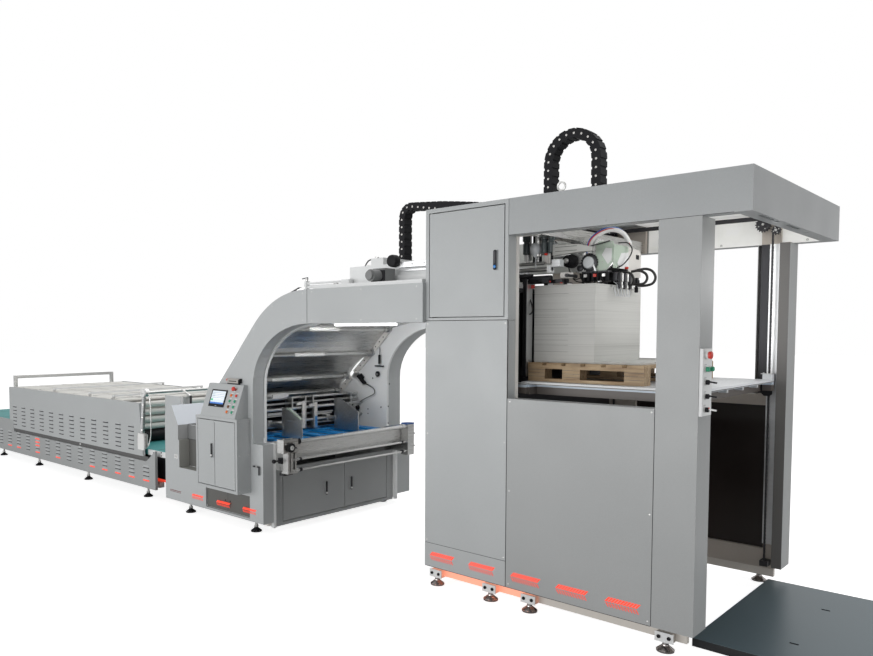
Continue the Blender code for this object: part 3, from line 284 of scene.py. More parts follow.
vent_red = glow("lit_vent", (0.90, 0.07, 0.035), 0.62)
vent_low = glow("lit_vent_low", (0.78, 0.08, 0.05), 0.42)
vent_dark = glow("lit_vent_dim", (0.16, 0.03, 0.03), 0.05)
screen_light = glow("screen_light", (0.66, 0.74, 0.80), 0.35)
screen_pale = glow("screen_pale", (0.74, 0.80, 0.86), 0.40)
screen_blue = glow("screen_blue", (0.05, 0.18, 0.55), 0.30)
screen_green = glow("screen_green", (0.05, 0.50, 0.22), 0.30)


# Shapes: each returns points and faces, with the faces turned outwards

BOX_FACES = [[0, 2, 3, 1], [4, 5, 7, 6], [0, 1, 5, 4], [2, 6, 7, 3], [0, 4, 6, 2], [1, 3, 7, 5]]


def outward(points, faces):
    mesh = bmesh.new()
    made = [mesh.verts.new(p) for p in points]
    for face in faces:
        mesh.faces.new([made[i] for i in face])
    bmesh.ops.recalc_face_normals(mesh, faces=mesh.faces)
    if mesh.calc_volume(signed=True) < 0:
        bmesh.ops.reverse_faces(mesh, faces=mesh.faces)
    mesh.verts.index_update()
    out = ([tuple(v.co) for v in mesh.verts], [[v.index for v in f.verts] for f in mesh.faces])
    mesh.free()
    return out


def skin(points, count):
    """A closed shape round a row of rings of `count` points each."""
    faces = [list(range(count)), [len(points) - 1 - k for k in range(count)]]
    for first in range(0, len(points) - count, count):
        here = [(first + k, first + (k + 1) % count) for k in range(count)]
        faces += [[a, b, b + count, a + count] for a, b in here]
    return outward(points, faces)


def lay(axis, a, b, at):
    """The point at a place along an axis, with the two other coordinates a and b."""
    return {"x": (at, a, b), "y": (a, at, b), "z": (a, b, at)}[axis]


def ring(a, b, r, count):
    turns = [2 * math.pi * i / count for i in range(count)]
    return [(a + r * math.cos(t), b + r * math.sin(t)) for t in turns]


def box(x0, x1, y0, y1, z0, z1):
    return [(x, y, z) for z in (z0, z1) for y in sorted((y0, y1)) for x in (x0, x1)], BOX_FACES


def prism(axis, profile, start, end):
    places = sorted((start, end))
    return skin([lay(axis, a, b, at) for at in places for a, b in profile], len(profile))


def rod(axis, a, b, r, start, end, count=20):
    return prism(axis, ring(a, b, r, count), start, end)


def turned(axis, a, b, profile, count):
    """A revolve about a line along `axis` through (a, b), from (radius, place along it) points."""
    return skin([lay(axis, p, q, at) for r, at in profile for p, q in ring(a, b, r, count)], count)


def smooth(path, per):
    """A Catmull-Rom curve through the points."""
    path = [Vector(p) for p in path]
    path = [2 * path[0] - path[1]] + path + [2 * path[-1] - path[-2]]
    out = []
    for i in range(1, len(path) - 2):
        a, b, c, d = path[i - 1:i + 3]
        for t in (k / per for k in range(per)):
            square = (2 * a - 5 * b + 4 * c - d) * t * t
            out.append(0.5 * (2 * b + (c - a) * t + square + (3 * b - a - 3 * c + d) * t ** 3))
    return out + [path[-2]]


def tube(path, r, count):
    """A round tube along a path."""
    path = [Vector(p) for p in path]
    points, side = [], None
    for i, p in enumerate(path):
        along = (path[min(i + 1, len(path) - 1)] - path[max(i - 1, 0)]).normalized()
        if side is None:
            side = along.cross(Vector((0, 0, 1)))
            if side.length < 0.1:
                side = along.cross(Vector((0, 1, 0)))
        side = (side - along * side.dot(along)).normalized()
        other = along.cross(side)
        points += [tuple(p + side * a + other * b) for a, b in ring(0.0, 0.0, r, count)]
    return skin(points, count)


def bar(p, q, wide, high, up=(0, 0, 1)):
    """A rectangular bar between two places; `high` is measured nearest to `up`."""
    p, q = Vector(p), Vector(q)
    along = (q - p).normalized()
    across = along.cross(Vector(up)).normalized()
    over = across.cross(along)
    corners = ((-1, -1), (1, -1), (1, 1), (-1, 1))
    return skin([
        tuple(e + across * s * wide / 2 + over * t * high / 2)
        for e in (p, q)
        for s, t in corners
    ], 4)


def with_cut_corners(a0, a1, b0, b1, cut, low_cut, high_cut):
    """The outline of a plate with its corners cut: `cut` along a, the two others along b."""
    low, high = b0 + low_cut, b1 - high_cut
    left, right = a0 + cut, a1 - cut
    return [(a0, low), (left, b0), (right, b0), (a1, low), (a1, high), (right, b1), (left, b1), (a0, high)]


# Pieces

SMOOTH_UP_TO = math.radians(35)
BEVEL_FROM = math.radians(40)


def piece(name, body, parts, bevel=0.0):
    """One object from (shape, material) pairs, riding on a body."""
    points, faces, which, looks = [], [], [], []
    for (more, turns), look in parts:
        if look not in looks:
            looks.append(look)
        faces += [[i + len(points) for i in face] for face in turns]
        which += [looks.index(look)] * len(turns)
        points += [tuple(Vector(p) + SHIFT) for p in more]
    mesh = bpy.data.meshes.new(name)
    mesh.from_pydata(points, [], faces)
    for look in looks:
        mesh.materials.append(look)
    mesh.polygons.foreach_set("material_index", which)
    mesh.polygons.foreach_set("use_smooth", [True] * len(faces))
    mesh.update()
    mesh.set_sharp_from_angle(angle=SMOOTH_UP_TO)
    made = bpy.data.objects.new(name, mesh)
    scene.collection.objects.link(made)
    if bevel:
        edge = made.modifiers.new("edges", "BEVEL")
        edge.width = bevel
        edge.segments = 2
        edge.limit_method = "ANGLE"
        edge.angle_limit = BEVEL_FROM
    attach(made, body)
    return made


def hose(name, body, points, r, look, per=7, count=12):
    """A hose or cable between two places on the machine, as a round tube along a smoothed path."""
    route = smooth(points, per)
    made = piece(name, body, [(tube(route, r, count), look)])


def dress(look, *names):
    """A CAD node keeps its shape and takes this material."""
    for name in names:
        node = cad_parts[name]
        if not node.material_slots:
            node.data.materials.append(look)
        for held in node.material_slots:
            held.material = look


# Camera, light and floor

WHITE = (1.0, 1.0, 1.0, 1.0)
FLOOR_RGB = (0.72, 0.72, 0.72)
FLOOR_REACH = 60.0
FLOOR_Z = -0.002

lens = bpy.data.cameras.new("camera")
lens.sensor_width = 36.0
lens.sensor_fit = "HORIZONTAL"
lens.lens = 31.13
lens.shift_x = 0.0762
lens.shift_y = 0.0502
lens.clip_end = 200.0
camera = bpy.data.objects.new("camera", lens)
camera.location = Vector((3.475, -5.18, 1.86)) + SHIFT
camera.rotation_euler = (math.radians(86.94), 0.0, math.radians(43.515))
scene.collection.objects.link(camera)
scene.camera = camera
scene.view_settings.view_transform = "Standard"


def by_ray(tree, kind, others, these):
    """One shader for the rays of a kind and another for all the rest."""
    rays = put(tree, "ShaderNodeLightPath")
    made = put(tree, "ShaderNodeMixShader")
    tree.links.new(rays.outputs[kind], made.inputs["Fac"])
    tree.links.new(others, made.inputs[1])
    tree.links.new(these, made.inputs[2])
    return made.outputs["Shader"]


world = bpy.data.worlds.new("studio")
world.use_nodes = True
scene.world = world
sky = world.node_tree
ambient = sky.nodes["Background"]
ambient.inputs["Color"].default_value = WHITE
ambient.inputs["Strength"].default_value = 0.32
mirrored = put(sky, "ShaderNodeBackground", Color=WHITE, Strength=0.78)
seen = put(sky, "ShaderNodeBackground", Color=WHITE, Strength=1.0)
unseen = by_ray(sky, "Is Glossy Ray", ambient.outputs["Background"], mirrored.outputs["Background"])
backdrop = by_ray(sky, "Is Camera Ray", unseen, seen.outputs["Background"])
sky.links.new(backdrop, sky.nodes["World Output"].inputs["Surface"])


def softbox(name, at, towards, wide, high, power, glossy=True):
    """A rectangular light that the camera doesn't see."""
    light = bpy.data.lights.new(name, "AREA")
    light.shape = "RECTANGLE"
    light.size, light.size_y = wide, high
    light.energy = power
    made = bpy.data.objects.new(name, light)
    made.location = Vector(at) + SHIFT
    made.rotation_euler = (Vector(towards) - Vector(at)).to_track_quat("-Z", "Y").to_euler()
    made.visible_camera = False
    made.visible_glossy = glossy
    scene.collection.objects.link(made)


softbox("low_fill", (4.3, 0.15, 0.55), (1.9, 0.15, 0.30), 1.6, 0.35, 17, glossy=False)
softbox("canopy_fill", (2.02, 0.0, 2.46), (1.25, 0.0, 1.75), 0.5, 1.3, 7)
softbox("arch_fill", (-1.25, -0.50, 2.02), (-2.1, 0.75, 1.15), 0.45, 0.25, 13, glossy=False)
softbox("key", (-3.5, -11.0, 1.6), (-3.5, 0.0, 1.1), 15.0, 2.6, 700)
softbox("top", (-3.0, 1.6, 7.5), (-3.0, 0.4, 0.0), 14.0, 4.5, 330)
softbox("end", (9.0, 1.0, 1.7), (1.9, 0.0, 1.4), 3.0, 2.4, 42)

floor_look, floor_tree, floor_main = shader("pale_floor", FLOOR_RGB, 0.0, 0.8)
floor_main.inputs["Emission Color"].default_value = WHITE
floor_main.inputs["Emission Strength"].default_value = 0.84
floor_plain = put(floor_tree, "ShaderNodeBsdfDiffuse", Color=(*FLOOR_RGB, 1.0))
floor_shown = by_ray(floor_tree, "Is Camera Ray", floor_plain.outputs["BSDF"], floor_main.outputs["BSDF"])
floor_tree.links.new(floor_shown, floor_tree.nodes["Material Output"].inputs["Surface"])
floor_mesh = bpy.data.meshes.new("floor")
floor_corners = [
    (FLOOR_REACH * a, FLOOR_REACH * b, FLOOR_Z)
    for a, b in ((-1, -1), (1, -1), (1, 1), (-1, 1))
]
floor_mesh.from_pydata(floor_corners, [], [[0, 1, 2, 3]])
floor_mesh.materials.append(floor_look)
floor = bpy.data.objects.new("floor", floor_mesh)
scene.collection.objects.link(floor)

# The CAD nodes keep their shapes and take their finishes, some with painted light and shade

SILVER = (0.445, 0.462, 0.467)
HOOD_SIDE = ("y", -0.9690, -0.9675)
HOOD_END = ("x", -2.66, -2.67)
FAR_POST_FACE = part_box("post_far")[0][1] - SHIFT.y
PLATE_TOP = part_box("loading_platform")[1][2]

dress(
    grey, "feeder_cover_near", "feeder_cover_far", "feeder_upper_cabinet", "feeder_upper_door",
    "arch_cover_far", "bridge_beam_near", "console_cabinet", "console_door_left", "console_door_right",
    "press_panel_near", "press_panel_far", "tower_roof",
)
dress(
    shaded_grey_front, "front_frame", "front_door_near", "front_door_far",
    "delivery_panel_near", "delivery_panel_far",
)
dress(shaded_grey_panel, "feeder_panel_near", "post_near")
dress(shaded_grey_canopy, "canopy_fascia")
dress(white, "side_plate_far", "arch_tie", "bridge_deck", "post_controls")
dress(off_white, "feeder_frame_near", "laminator_base", "delivery_base")
dress(bare_brown, "feeder_frame_far")
dress(brown, "inner_panel_near", "inner_panel_far")
dress(
    steel, "feeder_head", "register_unit", "inclined_conveyor", "front_roller_rail", "feed_table",
    "front_gate", "side_guide_near", "side_guide_far", "tension_bar", "handrail",
)
dress(dark_steel, "lift_drive", "front_lay", "press_frame")
dress(black, "cable_carrier_feeder", "cable_carrier_bridge", "handwheel")
dress(grey_shade, "glue_housing", "drive_motor")
dress(blue, "feed_belts")
dress(teal, "delivery_belt")
dress(cream, "press_belt", "entry_rollers")
# The feeder base has the red glow of the lamps behind the skirt painted into its colour and emission.
dress(red_light((0.66, 0.62, 0.57), (0.95, 0.10, 0.035), (0.92, 0.40, 0.27), 0.45), "feeder_base")
dress(coat("side_plate_coat", (0.78, 0.79, 0.79), [
    (SILVER, (("y", -0.8485, -0.8495), ("z", 0.88, 0.89))),
]), "side_plate_near")
# On the near cover the hood's sloping top is painted pale blue-white as a painted highlight; below the hood
# the alcove's sides are painted darker, and darkest lower down, as painted shade.
dress(coat("near_cover_coat_with_painted_light", SILVER, [
    ((0.80, 0.84, 0.90), (HOOD_END, ("z", 0.903, 0.908), HOOD_SIDE, ("z", 1.30, 1.29))),
    ((0.42, 0.425, 0.425), (HOOD_END, ("z", 0.906, 0.903), HOOD_SIDE, ("z", 0.745, 0.757))),
    ((0.36, 0.36, 0.335), (HOOD_END, ("z", 0.757, 0.755), HOOD_SIDE, ("z", 0.46, 0.47))),
]), "arch_cover_near")
# The far post's coat is a darker copy of the silver grey, and its face turned to the near side is painted
# near-black as painted shade.
dress(coat("far_post_coat_with_painted_shade", (0.365, 0.375, 0.376), [
    ((0.13, 0.125, 0.12), (("y", FAR_POST_FACE + 0.002, FAR_POST_FACE + 0.001),)),
]), "post_far")
dress(coat("dark_plate_coat", (0.105, 0.145, 0.165), [
    ((0.015, 0.016, 0.018), (("z", PLATE_TOP - 0.001, PLATE_TOP - 0.002),)),
], 0.32), "loading_platform")
dress(coat("platform_in_layers", (0.70, 0.72, 0.74), [
    ((0.06, 0.055, 0.05), (("z", 1.5045, 1.5035), ("z", 1.4985, 1.4995))),
    ((0.58, 0.66, 0.74), (("z", 1.4985, 1.4975), ("z", 1.478, 1.480))),
    ((0.11, 0.095, 0.085), (("z", 1.480, 1.478),)),
]), "lift_platform")

# Feeder tower, outside


def vent(name, face, x0, x1, z0, z1, upper_look, lower_look):
    """A grille pressed into a panel: two rows of slanting slots that meet in arrows."""
    middle = z0 + (z1 - z0) * 0.46
    lean = (z1 - z0) * 0.42
    count = 11
    step = (x1 - x0 - lean) / count
    gap = 0.003
    shapes = []
    for i in range(count):
        a = x0 + step * i
        b = a + step * 0.76
        upper = [(a, middle + gap), (b, middle + gap), (b + lean, z1), (a + lean, z1)]
        lower = [
            (a + lean * 0.9, z0), (b + lean * 0.6, z0), (b, middle - gap), (a + step * 0.2, middle - gap),
        ]
        for outline, look in ((upper, upper_look), (lower, lower_look)):
            shapes.append((prism("y", outline, face - 0.0010, face + 0.002), look))
    piece(name, "machine", shapes)


TOWER_VENTS = ((0.046, 0.276), (0.391, 0.620), (0.736, 0.971), (1.072, 1.306), (1.407, 1.639))
for i, (a, b) in enumerate(TOWER_VENTS):
    vent(f"tower_vent_{i + 1}", TOWER_FACE, a, b, 0.197, 0.258, vent_red, vent_low)
vent("laminator_vent_1", LAM_FACE, -3.390, -3.175, 0.206, 0.226, vent_dark, vent_dark)
for i, (a, b) in enumerate(((-2.990, -2.780), (-2.570, -2.340), (-2.157, -1.940))):
    vent(f"laminator_vent_{i + 2}", LAM_FACE, a, b, 0.190, 0.238, vent_red, vent_low)


def screws(name, spots):
    """Button-head screws, from (axis, face, way the face looks, a, b)."""
    size, out = 0.006, 0.0018
    shapes = []
    for axis, at, way, a, b in spots:
        profile = [(size, at), (size * 0.92, at + way * out * 0.5), (size * 0.55, at + way * out)]
        profile += [(size * 0.30, at + way * out * 0.98), (size * 0.28, at + way * out * 0.6)]
        shapes.append((turned(axis, a, b, profile, 10), zinc))
    piece(name, "machine", shapes)


spots = [("y", TOWER_FACE, -1, x, z) for x in (0.020, 0.680) for z in (0.340, 1.120, 1.915)]
spots += [("y", TOWER_FACE, -1, x, z) for x in (0.720, 1.675) for z in (0.170, 0.800, 1.395)]
spots += [("y", -TOWER_FACE, 1, x, z) for x in (0.020, 0.680, 1.675) for z in (0.340, 1.120, 1.395)]
spots += [("y", -TOWER_FACE, 1, x, z) for x in (0.020, 0.680) for z in (1.915, 2.700)]
spots += [("y", s * 0.841, s, x, 0.200) for s in (-1, 1) for x in (1.745, 1.815)]
screws("tower_panel_screws", spots)

# Open joints between the cover panels
TOWER_JOINTS = (
    (0.6950, 0.7005, 0.147, 1.935), (1.6915, 1.6955, 0.147, 1.415), (0.002, 0.698, 1.9345, 1.9390),
    (0.002, 0.698, 0.3185, 0.3215), (0.7015, 2.098, 2.4901, 2.4925),
)
joints = [(box(-1.2475, -1.2440, -0.9712, -0.9660, 1.930, 2.208), joint_dark)]
for x0, x1, z0, z1 in TOWER_JOINTS:
    joints.append((box(x0, x1, TOWER_FACE - 0.0004, TOWER_FACE + 0.004, z0, z1), joint_dark))
joints.append((box(0.002, 1.690, TOWER_FACE - 0.0003, TOWER_FACE + 0.003, 0.1448, 0.1482), joint_dark))
piece("cover_joints", "machine", joints)

# Upper door: recessed paddle latch with its push button
plate = with_cut_corners(0.587, 0.613, 2.269, 2.401, 0.006, 0.007, 0.007)
button = [(0.0105, -0.948), (0.0105, -0.9525), (0.009, -0.9540), (0.004, -0.9545)]
piece("upper_door_latch", "upper_door_body", [
    (prism("y", plate, -0.9485, -0.9465), black),
    (box(0.592, 0.608, -0.9515, -0.948, 2.312, 2.392), dark_steel),
    (turned("y", 0.600, 2.291, button, 20), blue_button),
], 0.0006)


def foot(name, x, y, top, look):
    """A levelling foot: disc, stem and lock nut."""
    disc = [(0.0505, 0.0), (0.0515, 0.010), (0.0400, 0.0195), (0.0205, 0.0345)]
    disc += [(0.0190, 0.040), (0.0122, 0.041)]
    piece(name, "machine", [
        (turned("z", x, y, disc, 28), look),
        (turned("z", x, y, [(0.0126, 0.036), (0.0126, top)], 16), zinc),
        (turned("z", x, y, [(0.019, 0.044), (0.020, 0.046), (0.020, 0.058), (0.019, 0.060)], 6), zinc),
    ])


def foot_bracket(name, x, s):
    """The two-bolt bracket that hands the load to a tower foot."""
    face, outer = s * 0.8852, s * 0.8912
    bolt = [(0.011, 0.0), (0.011, 0.007), (0.007, 0.0085), (0.0068, 0.004)]
    bolt = [(r, outer + s * out) for r, out in bolt]
    parts = [(box(x - 0.055, x + 0.055, face, outer, 0.056, 0.113), white)]
    parts += [(turned("y", x + dx, 0.086, bolt, 16), black) for dx in (-0.030, 0.030)]
    piece(name, "machine", parts, 0.001)


for i, x in enumerate((0.065, 0.535, 0.845, 1.755)):
    for s, word in SIDES:
        foot(f"tower_foot_{word}_{i + 1}", x, s * FOOT_Y, 0.106, worn_chrome)
        foot_bracket(f"tower_foot_bracket_{word}_{i + 1}", x, s)

# Push buttons and selector levers of the post
BUTTON_Y = -0.890
PLATE_X = 1.953
STOP_Z = 1.730
LEVER_ROWS = ((1.580, black), (1.502, black), (1.428, white_plastic))


def from_plate(profile):
    """A profile whose places are counted from the button plate."""
    return [(r, PLATE_X + out) for r, out in profile]


stop_collar = [(0.0235, 0.0), (0.0235, 0.004), (0.0180, 0.008), (0.0150, 0.010)]
stop_head = [(0.0150, 0.009), (0.0190, 0.012), (0.0215, 0.030), (0.0195, 0.0345), (0.0060, 0.036)]
push = [
    (turned("x", BUTTON_Y, STOP_Z, from_plate(stop_collar), 28), zinc),
    (turned("x", BUTTON_Y, STOP_Z, from_plate(stop_head), 28), red),
]
small = [(BUTTON_Y, 1.652, green), (BUTTON_Y + 0.068, 1.652, green)]
small += [(BUTTON_Y, z, black) for z, _ in LEVER_ROWS]
collar = from_plate([(0.0180, 0.0), (0.0180, 0.005), (0.0155, 0.0065)])
cap = from_plate([(0.0140, 0.004), (0.0140, 0.021), (0.0115, 0.0235), (0.0040, 0.024)])
for y, z, look in small:
    push += [(turned("x", y, z, collar, 24), zinc), (turned("x", y, z, cap, 24), look)]
for z, look in LEVER_ROWS:
    tail = (PLATE_X + 0.018, BUTTON_Y, z + 0.004)
    tip = (PLATE_X + 0.062, BUTTON_Y + 0.006, z - 0.002)
    push.append((bar(tail, tip, 0.008, 0.009), look))
lamp = from_plate([(0.0050, 0.022), (0.0050, 0.0265), (0.0020, 0.027)])
push.append((turned("x", BUTTON_Y, 1.437, lamp, 12), red))
piece("post_buttons", "machine", push, 0.0006)
piece("post_button_tags", "machine", [
    (box(PLATE_X, PLATE_X + 0.0006, BUTTON_Y - 0.014, BUTTON_Y + 0.018, z, z + 0.004), label)
    for z in (1.675, 1.602, 1.524, 1.450)
])

# White lining inside the canopy, with a painted glow for the light bounced inside it
CANOPY_LOW, CANOPY_TOP = 2.492, 2.698
LINING_Y = 0.8415
lining, lining_tree, lining_main = shader("canopy_lining", (0.80, 0.80, 0.78), 0.0, 0.5)
lining_grain_and_glow = ramp(lining_tree, noise(lining_tree, 3.0, detail=3.0), [
    (0.35, (0.72, 0.72, 0.70)), (0.65, (0.84, 0.84, 0.82)),
])
# The grain also feeds the emission: painted light, a glow that stands for light bounced inside the canopy.
for socket in ("Base Color", "Emission Color"):
    lining_tree.links.new(lining_grain_and_glow, lining_main.inputs[socket])
lining_main.inputs["Emission Strength"].default_value = 0.30
inner = [(box(0.870, 2.0950, s * LINING_Y, s * 0.8448, CANOPY_LOW, CANOPY_TOP), lining) for s in (-1, 1)]
inner.append((box(2.0955, 2.0985, -0.841, 0.841, CANOPY_LOW, CANOPY_TOP), lining))
inner.append((box(0.870, 2.0950, -0.841, 0.841, 2.6965, 2.6997), lining))
piece("canopy_lining", "machine", inner)
bolts = [
    (turned("y", x, 2.508, [(0.009, s * 0.8416), (0.009, s * 0.8360), (0.006, s * 0.8345)], 6), zinc)
    for x in (1.436, 2.017) for s in (-1, 1)
]
bolt = [(0.007, 0.8416), (0.007, 0.8370), (0.004, 0.8358)]
bolts += [(turned("y", x, 2.585, bolt, 6), zinc) for x in (1.20, 1.75)]
piece("canopy_bolts", "machine", bolts)

# Guide rails of the posts: a pale rail beside a dark channel
rails = []
for s in (-1, 1):
    rails.append((box(1.730, 1.786, s * 0.8030, s * 0.8057, 1.41, 2.489), dark_steel))
    rails.append((box(1.7872, 1.8530, s * 0.8005, s * 0.8057, 0.30, 2.489), alu))
piece("post_guide_rails", "machine", rails)

# Lift chains: side plates and rollers at every pitch
PITCH = 0.0254
CHAIN_Y = (("near", -0.740), ("far", 0.740))


LINK_PLATE = (
    (-0.0058, 0.003), (-0.0038, -0.002), (0.0038, -0.002), (0.0058, 0.003), (0.0040, 0.0127),
    (0.0058, 0.0224), (0.0038, 0.0274), (-0.0038, 0.0274), (-0.0058, 0.0224), (-0.0040, 0.0127),
)


def chain(name, x, y, low, high):
    """Rollers at every pitch between plates; those away from the centre line stand in and out by turns."""
    links = []
    for i in range(int((high - low) / PITCH)):
        z = low + i * PITCH
        plate = [(x + a, z + b) for a, b in LINK_PLATE]
        wide = 0.0098 if i % 2 else 0.0118
        for side in (-1, 1):
            out = wide if side * y > 0 else 0.0081
            links.append((prism("y", plate, y + side * (out - 0.0016), y + side * out), dark_steel))
        links.append((rod("y", x, z, 0.0036, y, y + math.copysign(0.0126, y), 8), zinc))
    piece(name, "machine", links)


for word, y in CHAIN_Y:
    chain(f"lift_chain_right_{word}", 1.821, y, 0.200, 2.575)
    chain(f"lift_chain_left_{word}", 0.643, y, 0.200, 2.640)


def around(x, z, r, turn):
    """The place at a radius and an angle round (x, z)."""
    return x + r * math.cos(turn), z + r * math.sin(turn)


def sprocket(name, x, z, r, y, teeth):
    half = math.pi / teeth
    tip = r + 0.0085
    outline = []
    for t in (2 * math.pi * i / teeth for i in range(teeth)):
        for radius, share in ((r, -0.62), (tip, -0.2), (tip, 0.2), (r, 0.62)):
            outline.append(around(x, z, radius, t + half * share))
    parts = [(prism("y", outline, y - 0.0035, y + 0.0035), dark_steel)]
    for s in (-1, 1):
        nut = [(0.010, y + s * 0.016), (0.010, y + s * 0.021), (0.007, y + s * 0.023)]
        parts.append((rod("y", x, z, r * 0.48, y + s * 0.009, y + s * 0.0165), dark_steel))
        parts.append((turned("y", x, z, nut, 6), zinc))
        for k in range(4):
            a, b = around(x, z, r * 0.68, k * math.pi / 2 + 0.4)
            parts.append((rod("y", a, b, 0.004, y + s * 0.0098, y + s * 0.0125, 8), zinc))
    piece(name, "machine", parts)


for word, y in CHAIN_Y:
    sprocket(f"chain_wheel_right_{word}", 1.757, 2.627, 0.0485, y, 18)
    sprocket(f"chain_wheel_left_{word}", 0.600, 2.640, 0.0485, y, 18)
    sprocket(f"chain_guide_{word}", 1.843, 2.580, 0.0272, y, 11)

# Lift platform, pallet and pile

wood, wood_tree, wood_main = shader("pine_boards", (0.42, 0.30, 0.18), 0.0, 0.62)
grain = noise(wood_tree, 26.0, (0.16, 2.2, 1.6), 5.0, 0.62)
patch = noise(wood_tree, 3.0, (1, 1, 3), 2.0)
streaks = ramp(wood_tree, grain, [
    (0.30, (0.22, 0.135, 0.07)), (0.48, (0.40, 0.275, 0.155)), (0.70, (0.56, 0.43, 0.27)),
])
dull = spread(wood_tree, patch, 0.0, 0.55, 0.35, 0.65)
wood_tree.links.new(mix(wood_tree, dull, streaks, (0.30, 0.22, 0.14)), wood_main.inputs["Base Color"])
bump(wood_tree, wood_main, grain, 0.25, 0.002)
dress(wood, "pallet")

paper, paper_tree, paper_main = shader("grey_board_sheets", (0.62, 0.61, 0.58), 0.0, 0.78)
layers = noise(paper_tree, 30.0, (0.02, 0.02, 11.0), 2.0)
reams = noise(paper_tree, 9.0, (0.03, 0.03, 3.2), 2.0)
tone = ramp(paper_tree, layers, [
    (0.28, (0.46, 0.46, 0.44)), (0.42, (0.57, 0.57, 0.55)), (0.70, (0.61, 0.61, 0.585)),
])
shaded = spread(paper_tree, reams, 0.0, 0.35, 0.62, 0.74)
paper_tree.links.new(mix(paper_tree, shaded, tone, (0.36, 0.36, 0.345)), paper_main.inputs["Base Color"])
bump(paper_tree, paper_main, layers, 0.35, 0.0015)
dress(paper, "sheet_pile")

PLATFORM_UNDER = 1.505
ribs = [(box(0.662, 1.858, s * 0.700, s * 0.7015, 1.5062, 1.5162), pale_steel) for s in (-1, 1)]
for y in (-0.45, -0.15, 0.15, 0.45):
    low, high = PLATFORM_UNDER - 0.034, PLATFORM_UNDER + 0.001
    ribs.append((box(0.690, 1.830, y - 0.015, y + 0.015, low, high), pale_steel))
for x in (0.72, 1.26, 1.80):
    ribs.append((turned("y", x, 1.511, [(0.004, -0.7014), (0.004, -0.7028), (0.002, -0.7036)], 8), zinc))
piece("lift_ribs", "lift_body", ribs)

# The right-hand corner brackets that clamp the chain
for s, word in SIDES:
    web = [(1.700, 1.505), (1.856, 1.505), (1.856, 1.412), (1.836, 1.398), (1.800, 1.398)]
    parts = [
        (box(1.776, 1.856, s * 0.700, s * 0.7305, 1.5535, 1.5585), pale_steel),
        (prism("y", web, s * 0.6985, s * 0.7025), black),
    ]
    for x in (1.792, 1.840):
        parts.append((turned("z", x, s * 0.715, [(0.006, 1.558), (0.006, 1.563), (0.003, 1.5645)], 6), zinc))
    piece(f"chain_clamp_{word}", "lift_body", parts, 0.0008)

# Nails, end marks and block layers of the pallet
PALLET_X = 0.650
BOARD = 0.110
BOARD_STEP = (0.830 - BOARD) / 5
BLOCKS = ((0.650, 0.780), (0.913, 1.043), (1.350, 1.480))
nails = []
for i in range(6):
    x = PALLET_X + i * BOARD_STEP + BOARD / 2
    for y in (-0.56, 0.0, 0.56):
        for dx in (-0.022, 0.022):
            nail = [(0.0035, 1.6448), (0.0035, 1.6458), (0.0015, 1.6461)]
            nails.append((turned("z", x + dx, y, nail, 8), zinc))
nails += [(rod("y", (a + b) / 2 + 0.02, 1.575, 0.0022, -0.5995, -0.5975, 8), dark_steel) for a, b in BLOCKS]
piece("pallet_nails", "lift_body", nails)
piece("pallet_block_layers", "lift_body", [
    (box(a + 0.001, b - 0.001, -0.5992, -0.5978, z - 0.0011, z + 0.0011), seam)
    for a, b in BLOCKS for z in (1.552, 1.575, 1.598)
])

# Thin dark lines where the reams of the pile meet
ream_edges = [
    (box(0.6395, 0.905, -0.5106, -0.4990, z, z + 0.0012), seam)
    for z in (1.72, 1.765, 1.80, 1.842, 1.905, 1.958, 2.012, 2.118)
]
ream_edges += [
    (box(0.6393, 0.6405, -0.5104, 0.190, z, z + 0.0010), seam) for z in (1.70, 1.79, 1.88, 1.94, 2.05, 2.13)
]
piece("ream_edges", "lift_body", ream_edges)

# Feeder head: housing plates, cams, hoses and suckers over the pile
HEAD_Y = -0.300
RIGHT = 1.120
covers = [
    (prism("y", [
        (0.995, 2.455), (1.015, 2.478), (1.118, 2.472), (1.124, 2.440), (1.124, 2.345), (1.070, 2.275),
        (1.010, 2.275), (0.995, 2.300),
    ], HEAD_Y - 0.006, HEAD_Y + 0.004), pale_green),
    (prism("y", [
        (1.040, 2.385), (1.068, 2.432), (1.112, 2.425), (1.112, 2.345), (1.085, 2.318),
    ], HEAD_Y - 0.009, HEAD_Y - 0.004), white),
    (box(RIGHT, RIGHT + 0.005, -0.306, -0.078, 2.292, 2.452), pale_green),
    (prism("x", [
        (-0.250, 2.330), (-0.190, 2.400), (-0.080, 2.412), (-0.080, 2.300), (-0.120, 2.292), (-0.215, 2.292),
    ], RIGHT + 0.004, RIGHT + 0.008), white),
    (prism("x", [
        (-0.078, 2.450), (0.090, 2.440), (0.126, 2.415), (0.126, 2.244), (-0.078, 2.236),
    ], RIGHT, RIGHT + 0.006), off_white),
    (box(RIGHT + 0.005, RIGHT + 0.008, 0.040, 0.090, 2.372, 2.404), black),
    (prism("y", [
        (0.800, 2.300), (0.862, 2.268), (0.990, 2.268), (0.990, 2.455), (0.940, 2.470), (0.800, 2.470),
    ], HEAD_Y - 0.003, HEAD_Y + 0.002), steel_x),
]
covers += [
    (turned("y", x, z, [
        (0.005, HEAD_Y - 0.0055), (0.005, HEAD_Y - 0.0095), (0.002, HEAD_Y - 0.0105),
    ], 6), zinc)
    for x, z in (
        (1.005, 2.462), (1.110, 2.462), (1.112, 2.350), (1.008, 2.290), (1.062, 2.286), (1.045, 2.335),
    )
]
covers += [
    (turned("x", y, z, [(0.005, RIGHT + 0.0045), (0.005, RIGHT + 0.0085), (0.002, RIGHT + 0.0095)], 6), zinc)
    for y, z in (
        (-0.290, 2.440), (-0.100, 2.440), (-0.290, 2.305), (-0.060, 2.430), (0.110, 2.400), (0.110, 2.260),
        (-0.060, 2.255), (0.030, 2.300),
    )
]
piece("feeder_head_covers", "machine", covers, 0.0012)

